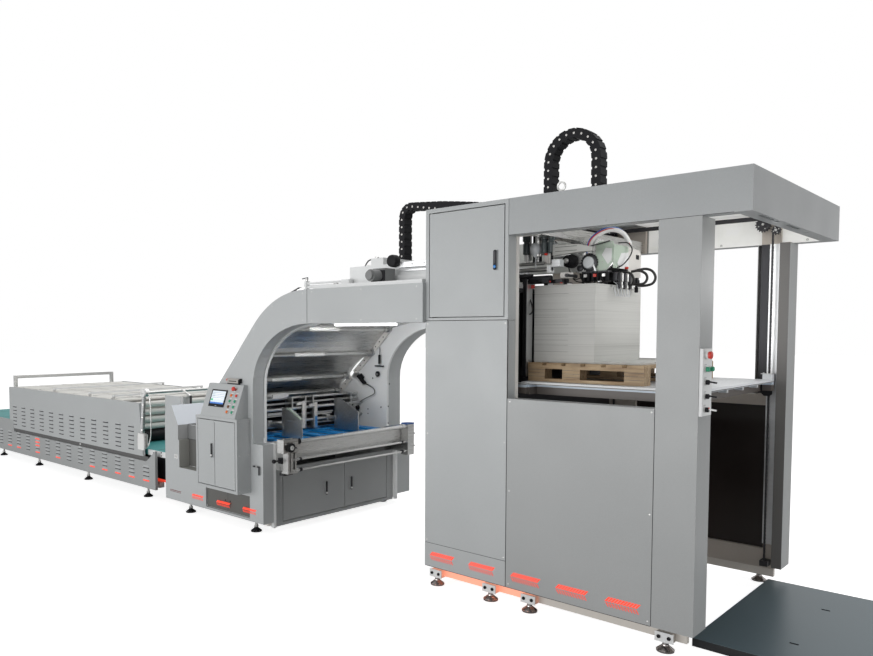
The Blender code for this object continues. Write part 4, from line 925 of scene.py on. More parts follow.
CAM_X, CAM_Z = 0.953, 2.336
TEETH = 20
cams = [
    (turned("y", CAM_X, CAM_Z, [
        (0.056, -0.305), (0.058, -0.309), (0.058, -0.321), (0.055, -0.323), (0.044, -0.323),
    ], 36), dark_steel),
    (turned("y", CAM_X, CAM_Z, [
        (0.041, -0.320), (0.042, -0.331), (0.036, -0.339), (0.018, -0.341), (0.006, -0.340),
    ], 32), clear),
    (turned("y", 0.820, 2.352, [
        (0.046, -0.304), (0.047, -0.340), (0.044, -0.372), (0.036, -0.376), (0.034, -0.390), (0.012, -0.392),
    ], 30), black),
    (turned("y", 0.820, 2.352, [(0.018, -0.390), (0.018, -0.400), (0.006, -0.402)], 18), zinc),
    (turned("y", 0.905, 2.405, [(0.022, -0.302), (0.022, -0.316), (0.018, -0.318)], 20), zinc),
    (turned("y", 0.880, 2.300, [(0.020, -0.302), (0.020, -0.318), (0.012, -0.320)], 20), dark_steel),
]
for t in (2 * math.pi * k / TEETH for k in range(TEETH)):
    root, tip = ((a, -0.315, b) for a, b in (around(CAM_X, CAM_Z, r, t) for r in (0.054, 0.063)))
    cams.append((bar(root, tip, 0.010, 0.012, (0, 1, 0)), dark_steel))
piece("feeder_head_cams", "machine", cams)

# Drive cylinders, valve bank and the tapering arm beside the head
cylinder = [
    (0.018, 2.395), (0.024, 2.400), (0.024, 2.470), (0.018, 2.474),
    (0.018, 2.485), (0.026, 2.490), (0.026, 2.560), (0.016, 2.565),
]
bank = [(turned("z", x, -0.560, cylinder, 20), dark_glass) for x in (0.600, 0.745, 0.800)]
bank += [(rod("z", x, -0.520, 0.010, 2.330, 2.620, 12), black) for x in (0.640, 0.690, 0.780)]
bank += [(prism("y", [
    (0.830, 2.372), (0.830, 2.446), (1.020, 2.436), (1.119, 2.412), (1.119, 2.385), (1.020, 2.384),
], -0.600, -0.560), arm_grey)]
bank += [(box(0.850, 1.010, -0.6012, -0.5995, z, z + 0.003), black) for z in (2.396, 2.424)]
bank += [
    (box(0.560, 0.840, 0.300, 0.330, 2.380, 2.440), alu),
    (box(0.300, 0.700, 0.340, 0.360, 2.450, 2.560), grey_shade),
]
bank += [(rod("x", 0.250, 2.415 + 0.050 * k, 0.012, 0.300, 0.700, 12), zinc) for k in range(3)]
bank += [
    (turned("z", 0.930 + 0.034 * k, -0.345, [
        (0.012, 2.206), (0.014, 2.210), (0.014, 2.262), (0.009, 2.266),
    ], 14), black)
    for k in range(6)
]
bank += [(box(0.915, 1.118, -0.352, -0.312, 2.262, 2.274), dark_steel)]
bank += [
    (box(x, x + 0.022, -0.372, -0.362, 2.232, 2.252), look)
    for x, look in ((0.940, white_plastic), (1.010, red), (1.075, zinc))
]
bank += [(box(-0.420, 0.300, 0.700, 0.706, 2.360, 2.640), back_grey)]
piece("head_valve_bank", "machine", bank, 0.0008)

# Beam clamps, cross tubes and the paper-size spindle left of the head
arms = [
    (rod("x", -0.36, 2.446, 0.030, 0.600, 0.800, 24), zinc),
    (rod("x", -0.30, 2.435, 0.019, 0.560, 0.800, 20), zinc),
    (turned("x", -0.36, 2.446, [
        (0.038, 0.606), (0.040, 0.610), (0.040, 0.634), (0.038, 0.638),
    ], 28), off_white),
    (prism("y", [
        (0.705, 2.395), (0.765, 2.400), (0.775, 2.470), (0.742, 2.497), (0.705, 2.480),
    ], -0.500, -0.420), alu),
    (box(0.720, 0.752, -0.520, -0.470, 2.330, 2.400), off_white),
    (rod("y", 0.735, 2.440, 0.010, -0.515, -0.400, 14), dark_steel),
    (rod("z", 0.605, -0.550, 0.013, 2.340, 2.600, 16), zinc),
    (rod("z", 0.640, -0.480, 0.016, 2.330, 2.560, 16), zinc),
    (rod("z", 0.690, -0.550, 0.022, 2.380, 2.560, 20), steel),
    (box(0.560, 0.735, -0.500, -0.430, 2.560, 2.640), dark_steel),
    (box(0.560, 0.595, -0.520, -0.480, 2.360, 2.560), white),
    (rod("x", -0.55, 2.330, 0.012, 0.530, 0.740, 16), zinc),
    (rod("x", -0.55, 2.288, 0.015, 0.500, 0.800, 16), zinc),
    (box(0.772, 0.800, -0.575, -0.525, 2.262, 2.312), white),
    (box(0.800, 0.860, -0.560, -0.500, 2.300, 2.350), alu),
    (box(0.845, 0.905, -0.520, -0.450, 2.225, 2.262), off_white),
    (rod("y", 0.900, 2.240, 0.012, -0.540, -0.400, 12), dark_steel),
    (box(0.540, 0.660, -0.600, -0.560, 2.235, 2.258), dark_steel),
    (rod("x", -0.560, 2.225, 0.020, 0.560, 0.800, 16), dark_steel),
    (rod("x", -0.510, 2.205, 0.014, 0.600, 0.900, 14), black),
    (box(0.590, 0.700, -0.590, -0.540, 2.190, 2.215), black),
    (box(0.740, 0.790, -0.585, -0.540, 2.196, 2.224), dark_steel),
    (box(0.830, 0.880, -0.560, -0.520, 2.192, 2.216), dark_steel),
]
arms += [
    (turned("y", x, z, [(0.006, -0.5005), (0.006, -0.5065), (0.003, -0.508)], 6), zinc)
    for x, z in ((0.722, 2.470), (0.758, 2.462), (0.722, 2.412), (0.760, 2.415))
]
arms += [
    (turned("z", x, -0.575, [(0.008, 2.257), (0.008, 2.264), (0.003, 2.266)], 6), zinc)
    for x in (0.555, 0.600, 0.645)
]
piece("sheet_size_arm", "machine", arms, 0.0008)
bowl = [
    (0.006, 2.372), (0.016, 2.380), (0.034, 2.402), (0.041, 2.428),
    (0.038, 2.452), (0.022, 2.470), (0.006, 2.474),
]
piece("oiler_bowl", "machine", [
    (turned("z", 0.675, -0.560, bowl, 28), clear),
    (rod("z", 0.675, -0.560, 0.004, 2.280, 2.375, 10), clear),
])
tips = [
    (turned("y", 0.756, 2.391, [
        (0.004, -0.545), (0.010, -0.552), (0.010, -0.566), (0.005, -0.572),
    ], 14), red),
    (box(0.640, 0.662, -0.560, -0.545, 2.160, 2.184), red),
    (turned("z", 0.788, -0.560, [(0.007, 2.196), (0.008, 2.206), (0.005, 2.212)], 12), red),
    (turned("z", 0.870, -0.550, [(0.007, 2.188), (0.008, 2.198), (0.005, 2.203)], 12), red),
    (turned("x", -0.130, 2.300, [(0.004, 1.124), (0.009, 1.130), (0.009, 1.144), (0.004, 1.150)], 14), red),
]
piece("red_levers", "machine", tips)

# Manifold and suckers below the head
below = [
    (box(0.900, 1.128, -0.292, -0.262, 2.205, 2.240), black),
    (box(1.120, 1.150, -0.300, -0.060, 2.206, 2.262), dark_steel),
    (box(0.860, 1.120, -0.240, 0.110, 2.226, 2.268), dark_steel),
    (box(0.930, 1.126, -0.100, 0.110, 2.190, 2.228), black),
]
sucker = [
    (0.006, 2.150), (0.012, 2.158), (0.012, 2.176), (0.008, 2.180), (0.008, 2.198),
    (0.013, 2.202), (0.014, 2.252), (0.010, 2.258), (0.005, 2.262),
]
for i in range(6):
    below.append((turned("z", 1.152, -0.275 + i * 0.040, sucker, 16), zinc if i % 2 else dark_steel))
nozzle = [
    (0.016, 2.186), (0.010, 2.196), (0.007, 2.200), (0.007, 2.214),
    (0.012, 2.216), (0.012, 2.262), (0.008, 2.266),
]
below += [(turned("z", x, -0.300, nozzle, 16), dark_steel) for x in (0.900, 0.985, 1.070)]
below += [
    (turned("z", 1.040, -0.316, [
        (0.010, 2.150), (0.013, 2.156), (0.013, 2.200), (0.009, 2.204), (0.009, 2.235),
    ], 16), white_plastic),
    (bar((0.985, -0.318, 2.332), (1.042, -0.318, 2.170), 0.022, 0.012), alu),
    (turned("z", 1.050, -0.318, [
        (0.010, 2.138), (0.014, 2.144), (0.014, 2.160), (0.008, 2.168),
    ], 14), black),
    (turned("z", 1.140, 0.026, [
        (0.010, 2.135), (0.013, 2.141), (0.013, 2.170), (0.006, 2.176), (0.006, 2.240),
    ], 14), black),
    (turned("y", 0.960, 2.250, [(0.026, -0.262), (0.028, -0.300), (0.022, -0.306)], 22), dark_steel),
    (turned("y", 1.040, 2.246, [(0.020, -0.262), (0.021, -0.296), (0.014, -0.302)], 20), zinc),
]
piece("feeder_manifold", "machine", below, 0.0006)

HOSES = (
    ("air_bundle_white", white_plastic, 0.016, [
        (0.955, -0.318, 2.400), (0.962, -0.310, 2.470), (1.000, -0.285, 2.525), (1.060, -0.255, 2.556),
        (1.110, -0.215, 2.552), (1.140, -0.165, 2.520), (1.150, -0.115, 2.462),
    ]),
    ("air_line_blue", blue_hose, 0.004, [
        (0.940, -0.325, 2.400), (0.946, -0.324, 2.474), (0.986, -0.300, 2.534), (1.052, -0.268, 2.572),
        (1.108, -0.222, 2.570), (1.146, -0.168, 2.532), (1.160, -0.115, 2.470),
    ]),
    ("air_line_red", red_hose, 0.0035, [
        (0.950, -0.326, 2.400), (0.955, -0.330, 2.470), (0.992, -0.306, 2.526), (1.056, -0.274, 2.560),
        (1.108, -0.232, 2.558), (1.144, -0.180, 2.524), (1.158, -0.130, 2.466),
    ]),
)
for name, look, r, path in HOSES:
    hose(name, "machine", path, r, look, 8, 14)
BLACK_HOSES = (
    ("suction_hose_outer", 0.009, [
        (1.125, 0.060, 2.296), (1.190, 0.060, 2.302), (1.238, 0.060, 2.284), (1.262, 0.060, 2.240),
        (1.242, 0.060, 2.198), (1.185, 0.060, 2.184), (1.120, 0.050, 2.186),
    ]),
    ("suction_hose_middle", 0.009, [
        (1.118, -0.030, 2.280), (1.175, -0.015, 2.286), (1.222, -0.010, 2.262), (1.232, -0.010, 2.226),
        (1.212, -0.015, 2.196), (1.165, -0.020, 2.190), (1.122, -0.030, 2.196),
    ]),
    ("suction_hose_front", 0.008, [
        (1.100, -0.180, 2.272), (1.178, -0.178, 2.262), (1.205, -0.170, 2.226), (1.190, -0.150, 2.186),
        (1.140, -0.120, 2.176), (1.075, -0.150, 2.186),
    ]),
    ("suction_hose_cross", 0.007, [
        (0.880, -0.305, 2.262), (0.905, -0.330, 2.226), (0.952, -0.345, 2.196), (1.010, -0.340, 2.188),
        (1.064, -0.322, 2.196), (1.104, -0.294, 2.204),
    ]),
    ("oil_line_top", 0.0045, [
        (0.780, -0.305, 2.420), (0.860, -0.330, 2.436), (0.960, -0.345, 2.444), (1.050, -0.330, 2.462),
        (1.100, -0.310, 2.476),
    ]),
    ("valve_cable", 0.0045, [
        (1.108, -0.200, 2.470), (1.150, -0.150, 2.470), (1.165, -0.110, 2.430), (1.160, -0.140, 2.372),
        (1.142, -0.200, 2.318), (1.126, -0.250, 2.296),
    ]),
    ("signal_cable_left", 0.0040, [
        (0.796, -0.322, 2.330), (0.830, -0.370, 2.285), (0.868, -0.410, 2.236), (0.900, -0.380, 2.222),
        (0.925, -0.317, 2.254),
    ]),
    ("signal_cable_low", 0.0040, [
        (0.802, -0.322, 2.300), (0.845, -0.360, 2.242), (0.890, -0.370, 2.206), (0.935, -0.312, 2.200),
    ]),
)
for name, r, path in BLACK_HOSES:
    hose(name, "machine", path, r, rubber)
for i in range(5):
    y = -0.285 + i * 0.045
    path = [
        (1.117, y, 2.198), (1.132, y, 2.191), (1.144, y - 0.001, 2.176), (1.151, y - 0.002, 2.150),
        (1.153, y - 0.003, 2.122), (1.152, y - 0.007, 2.106), (1.151, y - 0.018, 2.099),
        (1.150, y - 0.029, 2.106), (1.148, y - 0.033, 2.122), (1.142, y - 0.034, 2.146),
        (1.129, y - 0.034, 2.168),
    ]
    hose(f"clear_blow_line_{i + 1}", "machine", path, 0.0026, clear, 5, 8)
lay_loop = [
    (0.546, -0.550, 2.120), (0.566, -0.552, 2.068), (0.592, -0.556, 2.012), (0.624, -0.560, 1.980),
    (0.652, -0.560, 1.996), (0.648, -0.556, 2.040), (0.625, -0.552, 2.092),
]
hose("lay_cable", "machine", lay_loop, 0.0050, rubber)
stops = [
    (box(0.6295, 0.6325, y - 0.036, y + 0.036, 1.546, 2.222), alu)
    for y in (-0.560, -0.280, 0.0, 0.280, 0.560)
]
stops += [
    (turned("x", -0.560, z, [(0.004, 0.6322), (0.004, 0.6342), (0.002, 0.6348)], 8), zinc)
    for z in (1.600, 1.660, 1.900, 2.100)
]
piece("pile_stops", "machine", stops, 0.001)

# Laminating unit: fittings
for i, x in enumerate((-3.168, -2.083)):
    for s, word in SIDES:
        foot(f"laminator_foot_{word}_{i + 1}", x, s * FOOT_Y, 0.086, black)
NEAR_SCREWS = (
    (-3.440, 0.160), (-3.440, 0.560), (-3.440, 0.960), (-2.720, 0.160), (-1.870, 0.160), (-1.870, 0.500),
    (-1.870, 0.800), (-2.010, 1.120), (-1.960, 1.460), (-1.800, 1.760), (-1.560, 1.930), (-1.300, 1.955),
    (-2.430, 1.420), (-2.200, 1.640), (-1.960, 1.880), (-1.700, 2.080), (-1.300, 2.180),
)
FAR_SCREWS = (
    (-3.440, 0.160), (-3.440, 0.600), (-3.440, 1.140), (-2.600, 0.160), (-1.870, 0.160), (-1.870, 0.780),
    (-2.030, 1.300), (-1.400, 2.000), (-0.700, 2.000), (-0.060, 2.000), (-0.060, 2.180), (-1.250, 2.180),
    (-2.500, 1.300),
)
spots = [("y", LAM_FACE, -1, x, z) for x, z in NEAR_SCREWS]
spots += [("y", LAM_FACE, -1, x, z) for x in (-1.190, -0.620, -0.060) for z in (1.950, 2.186)]
spots += [("y", 1.050, 1, x, z) for x, z in FAR_SCREWS]
screws("laminator_screws", spots)

# The cut-out low on the near cover carries a raised door, painted near-black as the shade in the cut-out; a
# lever sits above the front corner
lever = [
    (rod("y", -1.920, 0.640, 0.009, -0.992, -0.968, 16), zinc),
    (bar((-1.968, -0.985, 0.640), (-1.885, -0.985, 0.640), 0.010, 0.012), dark_steel),
    (bar((-1.886, -0.985, 0.645), (-1.886, -0.985, 0.566), 0.010, 0.012, (1, 0, 0)), dark_steel),
]
piece("cover_lever", "machine", lever, 0.001)
low_door = [
    (box(-2.738, -2.047, -0.9545, -0.9500, 0.150, 0.345), recess),
    (box(-2.405, -2.400, -0.956, -0.9535, 0.150, 0.345), seam),
]
low_door += [
    (turned("y", x, 0.250, [(0.008, -0.9545), (0.008, -0.9585), (0.005, -0.9595)], 14), dark_steel)
    for x in (-2.440, -2.365)
]
piece("low_service_door", "machine", low_door)

# Alcove beside the console, its label, and the rating plate on the cover
# The alcove's back is painted shade: dark grey under the hood and near-black lower down.
piece("alcove_back", "machine", [
    (box(-3.206, -2.680, -0.8545, -0.8503, 0.477, 0.748), recess),
    (box(-3.224, -2.680, -0.8560, -0.8503, 0.757, 0.903), grey_shade),
    (box(-3.224, -2.680, -0.8600, -0.8503, 0.750, 0.756), seam),
], 0.001)
piece("alcove_label", "machine", [
    (box(-3.000, -2.930, -0.8545, -0.8505, 0.690, 0.715), black),
    (box(-2.992, -2.938, -0.8552, -0.8545, 0.697, 0.708), white_plastic),
])
rating = [(box(-3.300, -3.235, -0.9715, LAM_FACE, 0.560, 0.600), white_plastic)]
rating += [(box(-3.294, -3.241, -0.9720, -0.9715, z, z + 0.003), dark_steel) for z in (0.570, 0.580, 0.590)]
piece("cover_rating_plate", "machine", rating)

# The glue lever and its white post stand behind the hood
piece("glue_lever", "machine", [
    (bar((-3.562, -0.700, 1.238), (-3.406, -0.700, 1.172), 0.018, 0.014), zinc),
    (turned("y", -3.430, 1.176, [
        (0.022, -0.716), (0.024, -0.712), (0.024, -0.690), (0.022, -0.686),
    ], 18), zinc),
    (box(-3.520, -3.462, -0.730, -0.672, 0.890, 1.165), white_plastic),
    (rod("z", -3.400, -0.700, 0.012, 0.890, 1.180, 14), dark_steel),
], 0.001)

# Bridge: dressings on top of the deck
bridge = [
    (prism("x", [
        (-0.640, 2.366), (-0.600, 2.366), (-0.600, 2.372), (-0.632, 2.372), (-0.632, 2.404), (-0.600, 2.404),
        (-0.600, 2.410), (-0.640, 2.410),
    ], -0.540, -0.030), alu),
    (box(-0.530, -0.030, -0.620, -0.606, 2.338, 2.352), alu),
    (turned("y", -0.555, 2.420, [
        (0.030, -0.700), (0.046, -0.694), (0.050, -0.680), (0.050, -0.640), (0.046, -0.632), (0.020, -0.630),
    ], 28), black),
    (box(-0.700, -0.560, -0.770, -0.755, 2.255, 2.345), dark_steel),
]
bridge += [
    (turned("y", x, 2.388, [(0.006, -0.6405), (0.006, -0.6455), (0.003, -0.647)], 6), zinc)
    for x in (-0.500, -0.380, -0.260, -0.120)
]
piece("bridge_rail", "machine", bridge, 0.0008)
piece("motor_fins", "machine", [
    (turned("x", -0.700, 2.312, [(0.040, x), (0.040, x + 0.004)], 24), grey_shade)
    for x in (-0.672 + 0.0085 * k for k in range(11))
])

posts = [
    (turned("z", -1.660, -0.600, [
        (0.012, 2.235), (0.012, 2.330), (0.015, 2.332), (0.015, 2.340), (0.010, 2.342),
    ], 14), zinc),
    (bar((-1.700, -0.620, 2.335), (-1.645, -0.600, 2.345), 0.010, 0.008), dark_steel),
    (bar((-1.660, -0.600, 2.262), (-1.745, -0.640, 2.225), 0.030, 0.020), zinc),
    (prism("y", [
        (-2.020, 2.050), (-1.985, 2.095), (-1.900, 2.150), (-1.760, 2.215), (-1.720, 2.240), (-1.745, 2.262),
        (-1.850, 2.225), (-1.960, 2.155), (-2.030, 2.070),
    ], -0.625, -0.575), dark_steel),
    (turned("x", -0.600, 2.262, [(0.019, -1.300), (0.019, -1.260), (0.015, -1.256)], 14), zinc),
]
piece("bridge_ladder_end", "machine", posts, 0.0008)

# Register mechanism: plates, eccentric shaft, adjusting screws and its bow
MECH_Y = -0.300
BOW = (
    (-1.262, 0.040), (-1.250, 0.085), (-1.228, 0.150), (-1.215, 0.200), (-1.180, 0.242),
    (-1.130, 0.254), (-1.088, 0.238), (-1.066, 0.190), (-1.054, 0.135), (-1.034, 0.100),
)
screw = [(0.007, 0.110), (0.007, 0.152), (0.014, 0.154), (0.014, 0.163), (0.004, 0.165)]


def on_deck(x, y, up):
    return x, y, DECK_TOP + up


def deck_bar(x0, x1, y, up0, up1, wide, high, look, over=(0, 0, 1)):
    return bar(on_deck(x0, y, up0), on_deck(x1, y, up1), wide, high, over), look


mech = [
    (box(-1.240, -0.960, -0.420, -0.400, DECK_TOP + 0.045, DECK_TOP + 0.090), zinc),
    deck_bar(-1.300, -1.010, MECH_Y, 0.104, 0.165, 0.012, 0.012, alu),
    deck_bar(-1.290, -1.000, -0.380, 0.096, 0.158, 0.012, 0.012, alu),
    deck_bar(-1.225, -1.215, MECH_Y, 0.045, 0.140, 0.024, 0.020, zinc, (0, 1, 0)),
    deck_bar(-1.030, -1.020, MECH_Y, 0.060, 0.170, 0.024, 0.020, zinc, (0, 1, 0)),
    (turned("y", -1.060, DECK_TOP + 0.094, [
        (0.022, -0.270), (0.036, -0.266), (0.036, -0.240), (0.022, -0.236),
    ], 24), black),
    (turned("y", -1.120, DECK_TOP + 0.062, [(0.020, -0.430), (0.020, -0.455), (0.014, -0.458)], 18), zinc),
    (turned("z", -1.154, MECH_Y, [(r, DECK_TOP + up) for r, up in screw], 12), alu),
    (rod("z", -1.090, MECH_Y, 0.006, DECK_TOP + 0.150, DECK_TOP + 0.268, 12), zinc),
    (rod("z", -1.090, MECH_Y, 0.010, DECK_TOP + 0.262, DECK_TOP + 0.275, 12), zinc),
    deck_bar(-1.222, -1.115, MECH_Y, 0.205, 0.205, 0.006, 0.006, zinc),
    (tube(smooth([on_deck(x, MECH_Y, up) for x, up in BOW], 5), 0.006, 10), dark_steel),
    deck_bar(-1.200, -0.960, -0.460, 0.020, 0.055, 0.020, 0.014, dark_steel),
    (box(-1.300, -1.190, -0.480, -0.420, DECK_TOP + 0.012, DECK_TOP + 0.040), alu),
]
for y, up in ((MECH_Y, 0.104), (-0.380, 0.096)):
    end = [(0.012, -1.306), (0.012, -1.294), (0.007, -1.290)]
    mech.append((turned("x", y, DECK_TOP + up, end, 10), dark_steel))
piece("register_mechanism", "machine", mech, 0.0006)

# The light strip under the bridge beam, and its holder
piece("bridge_light", "machine", [
    (box(-0.980, -0.320, -0.905, -0.885, 1.905, 1.922), led),
    (box(-1.000, -0.300, -0.915, -0.875, 1.9225, 1.9257), alu),
])

# Inclined conveyor: drum joints, stretcher labels, perforated strips on the far plate
RUNG = ((-1.911, 1.885), (-2.163, 1.630), (-2.539, 1.365), (-2.673, 1.193))
incline = []
for (cx, cz), y0 in zip(RUNG, (-0.360, -0.330, -0.310, -0.400)):
    for y in (0.700, -0.700):
        drum_end = [(0.030, y), (0.032, y + 0.006), (0.032, y + 0.030), (0.028, y + 0.036)]
        incline.append((turned("y", cx, cz, drum_end, 20), zinc))
    sticker = [around(cx, cz, 0.0232, math.radians(a)) for a in range(-95, 50, 12)]
    sticker += [around(cx, cz, 0.0222, math.radians(a)) for a in range(49, -97, -12)]
    incline.append((prism("y", sticker, y0, y0 + 0.400), white_plastic))
piece("stretcher_labels", "machine", incline)
STRIPS = (
    ((-2.140, 1.670), (-1.915, 1.880)),
    ((-2.440, 1.400), (-2.185, 1.625)),
    ((-2.730, 1.130), (-2.490, 1.355)),
)
side_strips = []
for low, high in STRIPS:
    low, high = (Vector((x, 0.796, z)) for x, z in (low, high))
    side_strips.append((bar(low, high, 0.062, 0.006, (0, 1, 0)), off_white))
    for share in (0.12, 0.38, 0.62, 0.88):
        at = low.lerp(high, share)
        button = [(0.007, 0.7932), (0.007, 0.7900), (0.004, 0.7890)]
        side_strips.append((turned("y", at.x, at.z, button, 12), dark_steel))
piece("perforated_strips", "machine", side_strips, 0.0006)
for word, y in (("far", 0.775), ("near", -0.775)):
    clamp = [(0.036, y - 0.010), (0.038, y - 0.007), (0.038, y + 0.007), (0.036, y + 0.010)]
    piece(f"stretcher_clamps_{word}", "machine", [(turned("y", x, z, clamp, 24), alu) for x, z in RUNG])

# Air spring, valve and its line on the inner face of the far plate
FAR_PLATE_FACE = 0.7995
far_fit = [
    (rod("z", -2.046, 0.788, 0.004, 1.600, 1.690, 10), dark_steel),
    (turned("z", -2.046, 0.782, [
        (0.009, 1.510), (0.014, 1.516), (0.014, 1.604), (0.009, 1.610),
    ], 16), black),
    (bar((-2.110, 0.782, 1.488), (-1.985, 0.782, 1.488), 0.014, 0.014), black),
    (turned("y", -2.080, 1.400, [
        (0.026, 0.780), (0.030, 0.784), (0.030, 0.792), (0.026, 0.798),
    ], 20), dark_steel),
    (turned("y", -2.080, 1.400, [(0.012, 0.776), (0.012, 0.784)], 16), zinc),
    (box(-2.420, -2.360, 0.760, 0.792, 1.360, 1.400), zinc),
    (bar((-2.360, 0.776, 1.375), (-2.260, 0.776, 1.290), 0.034, 0.030), black),
    (bar((-2.335, 0.776, 1.330), (-2.290, 0.776, 1.380), 0.016, 0.060), black),
    (turned("y", -2.036, 1.043, [(0.008, FAR_PLATE_FACE), (0.008, 0.7940), (0.004, 0.793)], 12), dark_steel),
    (box(-2.400, -2.372, 0.770, 0.799, 0.955, 1.030), black),
    (turned("y", -2.374, 1.020, [(0.020, 0.770), (0.022, 0.775), (0.022, 0.795)], 18), black),
    (box(-2.410, -2.372, 0.776, 0.799, 0.900, 0.945), black),
    (turned("y", -2.390, 0.965, [(0.009, 0.768), (0.009, 0.778)], 12), orange),
]
far_fit += [
    (turned("y", x, z, [(0.007, FAR_PLATE_FACE), (0.007, 0.7945), (0.004, 0.7935)], 10), dark_steel)
    for x, z in (
        (-2.230, 1.010), (-2.230, 0.960), (-1.930, 1.060), (-1.930, 0.880), (-2.160, 1.352), (-1.915, 1.300),
    )
]
piece("far_plate_fittings", "machine", far_fit, 0.0008)
line = [
    (-2.262, 0.794, 1.288), (-2.195, 0.782, 1.268), (-2.145, 0.782, 1.250), (-2.118, 0.782, 1.222),
    (-2.124, 0.783, 1.186), (-2.165, 0.784, 1.164), (-2.270, 0.784, 1.120), (-2.380, 0.784, 1.070),
    (-2.500, 0.784, 1.062), (-2.556, 0.797, 1.080),
]
hose("far_plate_air_line", "machine", line, 0.0045, rubber)

# Feed gate: bars, rollers, brackets and black slides behind the side guides
GATE_X = -2.400
GATE_HALF = 0.790
gate_parts = []
for y in (-0.690, -0.450, -0.110, 0.050, 0.420, 0.640):
    gate_parts.append((box(-2.436, -2.388, y - 0.030, y + 0.030, 0.900, 0.960), black))
    gate_parts.append((turned("y", -2.415, 1.080, [
        (0.022, y - 0.035), (0.026, y - 0.031), (0.026, y + 0.031), (0.022, y + 0.035),
    ], 18), dark_steel))
for y, z0, z1 in ((-0.060, 0.870, 1.150), (0.110, 0.865, 1.125)):
    gate_parts.append((box(-2.330, -2.322, y - 0.020, y + 0.020, z0, z1), off_white))
    gate_parts.append((box(-2.332, -2.321, y - 0.090, y + 0.010, z1 - 0.040, z1 - 0.010), off_white))
gate_parts += [
    (box(-2.322, -2.318, 0.094, 0.126, 0.870, 0.980), blue_bar),
    (rod("y", GATE_X, 1.010, 0.010, -GATE_HALF, GATE_HALF, 14), zinc),
    (rod("y", GATE_X, 0.905, 0.012, -GATE_HALF, GATE_HALF, 14), zinc),
    (rod("y", GATE_X, 1.130, 0.011, -GATE_HALF, GATE_HALF, 14), steel),
    (rod("y", GATE_X - 0.070, 1.060, 0.026, -GATE_HALF, GATE_HALF, 20), black),
    (rod("y", GATE_X - 0.080, 0.950, 0.030, -GATE_HALF, GATE_HALF, 20), dark_steel),
    (box(-2.520, -2.500, -GATE_HALF, GATE_HALF, 0.845, 1.180), black),
    (box(-2.409, -2.389, -0.480, -0.100, 1.020, 1.046), steel),
    (box(-2.390, -2.372, -0.420, -0.220, 1.195, 1.228), white_plastic),
    (box(-2.419, -2.389, 0.180, 0.400, 0.985, 1.000), zinc),
    (box(-2.419, -2.389, 0.180, 0.400, 1.060, 1.075), zinc),
    (box(-2.430, -2.389, 0.420, 0.460, 0.940, 1.120), black),
]
piece("gate_works", "machine", gate_parts, 0.0008)
edges = [
    (box(-2.050, -1.860, -0.5130, -0.5108, 1.000, 1.026), steel_x),
    (prism("y", [
        (-2.040, 1.130), (-2.000, 1.130), (-1.842, 1.044), (-1.842, 1.032), (-2.004, 1.118), (-2.040, 1.118),
    ], -0.530, -0.511), pale_green),
]
piece("side_guide_near_trim", "side_guide_near_body", edges)
mark = [(0.006, -0.5112), (0.006, -0.5145), (0.003, -0.5155)]
piece("side_guide_near_marks", "side_guide_near_body", [
    (turned("y", x, z, mark, 10), zinc) for x, z in ((-1.980, 0.960), (-2.060, 0.900))
])
piece("side_guide_far_marks", "side_guide_far_body", [
    (turned("y", x, z, [(0.006, 0.2738), (0.006, 0.2705), (0.003, 0.2695)], 10), zinc)
    for x, z in ((-1.980, 1.030), (-2.150, 0.960), (-1.930, 0.900))
])

# Front doors: latches
for body, y in (("front_door_near_body", -0.162), ("front_door_far_body", 0.181)):
    z0 = 0.265
    plate = with_cut_corners(y - 0.0128, y + 0.0128, z0 - 0.001, z0 + 0.131, 0.0058, 0.007, 0.006)
    shapes = [
        (prism("x", plate, -1.8732, -1.8705), black),
        (box(-1.871, -1.8675, y - 0.0085, y + 0.0085, z0 + 0.040, z0 + 0.124), dark_steel),
        (turned("x", y, z0 + 0.018, [
            (0.010, -1.8710), (0.010, -1.8660), (0.008, -1.8645), (0.003, -1.8640),
        ], 18), white_plastic),
    ]
    piece(f"{body}_latch", body, shapes, 0.0005)

# Roller rail: collars, end caps, bolts and the knob lever below the hand wheel
RAIL_ROLLER_X = -1.660
RAIL_ROLLER_Z = 0.870
WHEEL_Y, WHEEL_Z = -0.836, 0.828
railing = [
    (turned("y", RAIL_ROLLER_X, RAIL_ROLLER_Z, [
        (0.020, -0.740), (0.027, -0.738), (0.027, -0.700), (0.0205, -0.696),
    ], 20), black),
    (turned("y", RAIL_ROLLER_X, RAIL_ROLLER_Z, [
        (0.0205, 0.700), (0.026, 0.704), (0.026, 0.740), (0.020, 0.744),
    ], 20), zinc),
    (box(-1.7205, -1.6295, 0.768, 0.872, 0.8905, 0.905), blue_cap),
    (rod("y", -1.750, 0.700, 0.008, -0.915, -0.830, 14), dark_steel),
    (turned("y", -1.750, 0.700, [
        (0.006, -0.936), (0.017, -0.932), (0.019, -0.918), (0.014, -0.906), (0.009, -0.902),
    ], 20), black),
    (box(-1.775, -1.725, -0.855, -0.800, 0.672, 0.722), black),
    (box(-1.760, -1.700, -0.850, -0.745, 0.565, 0.590), dark_steel),
]
for z in (0.790, 0.660):
    railing.append((turned("y", -1.640, z, [
        (0.010, 0.870), (0.010, 0.884), (0.006, 0.886),
    ], 12), dark_steel))
for y in (-0.870, -0.780):
    railing.append((turned("z", -1.675, y, [(0.007, 0.900), (0.007, 0.907), (0.003, 0.909)], 6), zinc))
for y in (-0.780, -0.885):
    railing.append((turned("x", y, 0.862, [(0.008, -1.6300), (0.008, -1.6240), (0.004, -1.622)], 6), zinc))
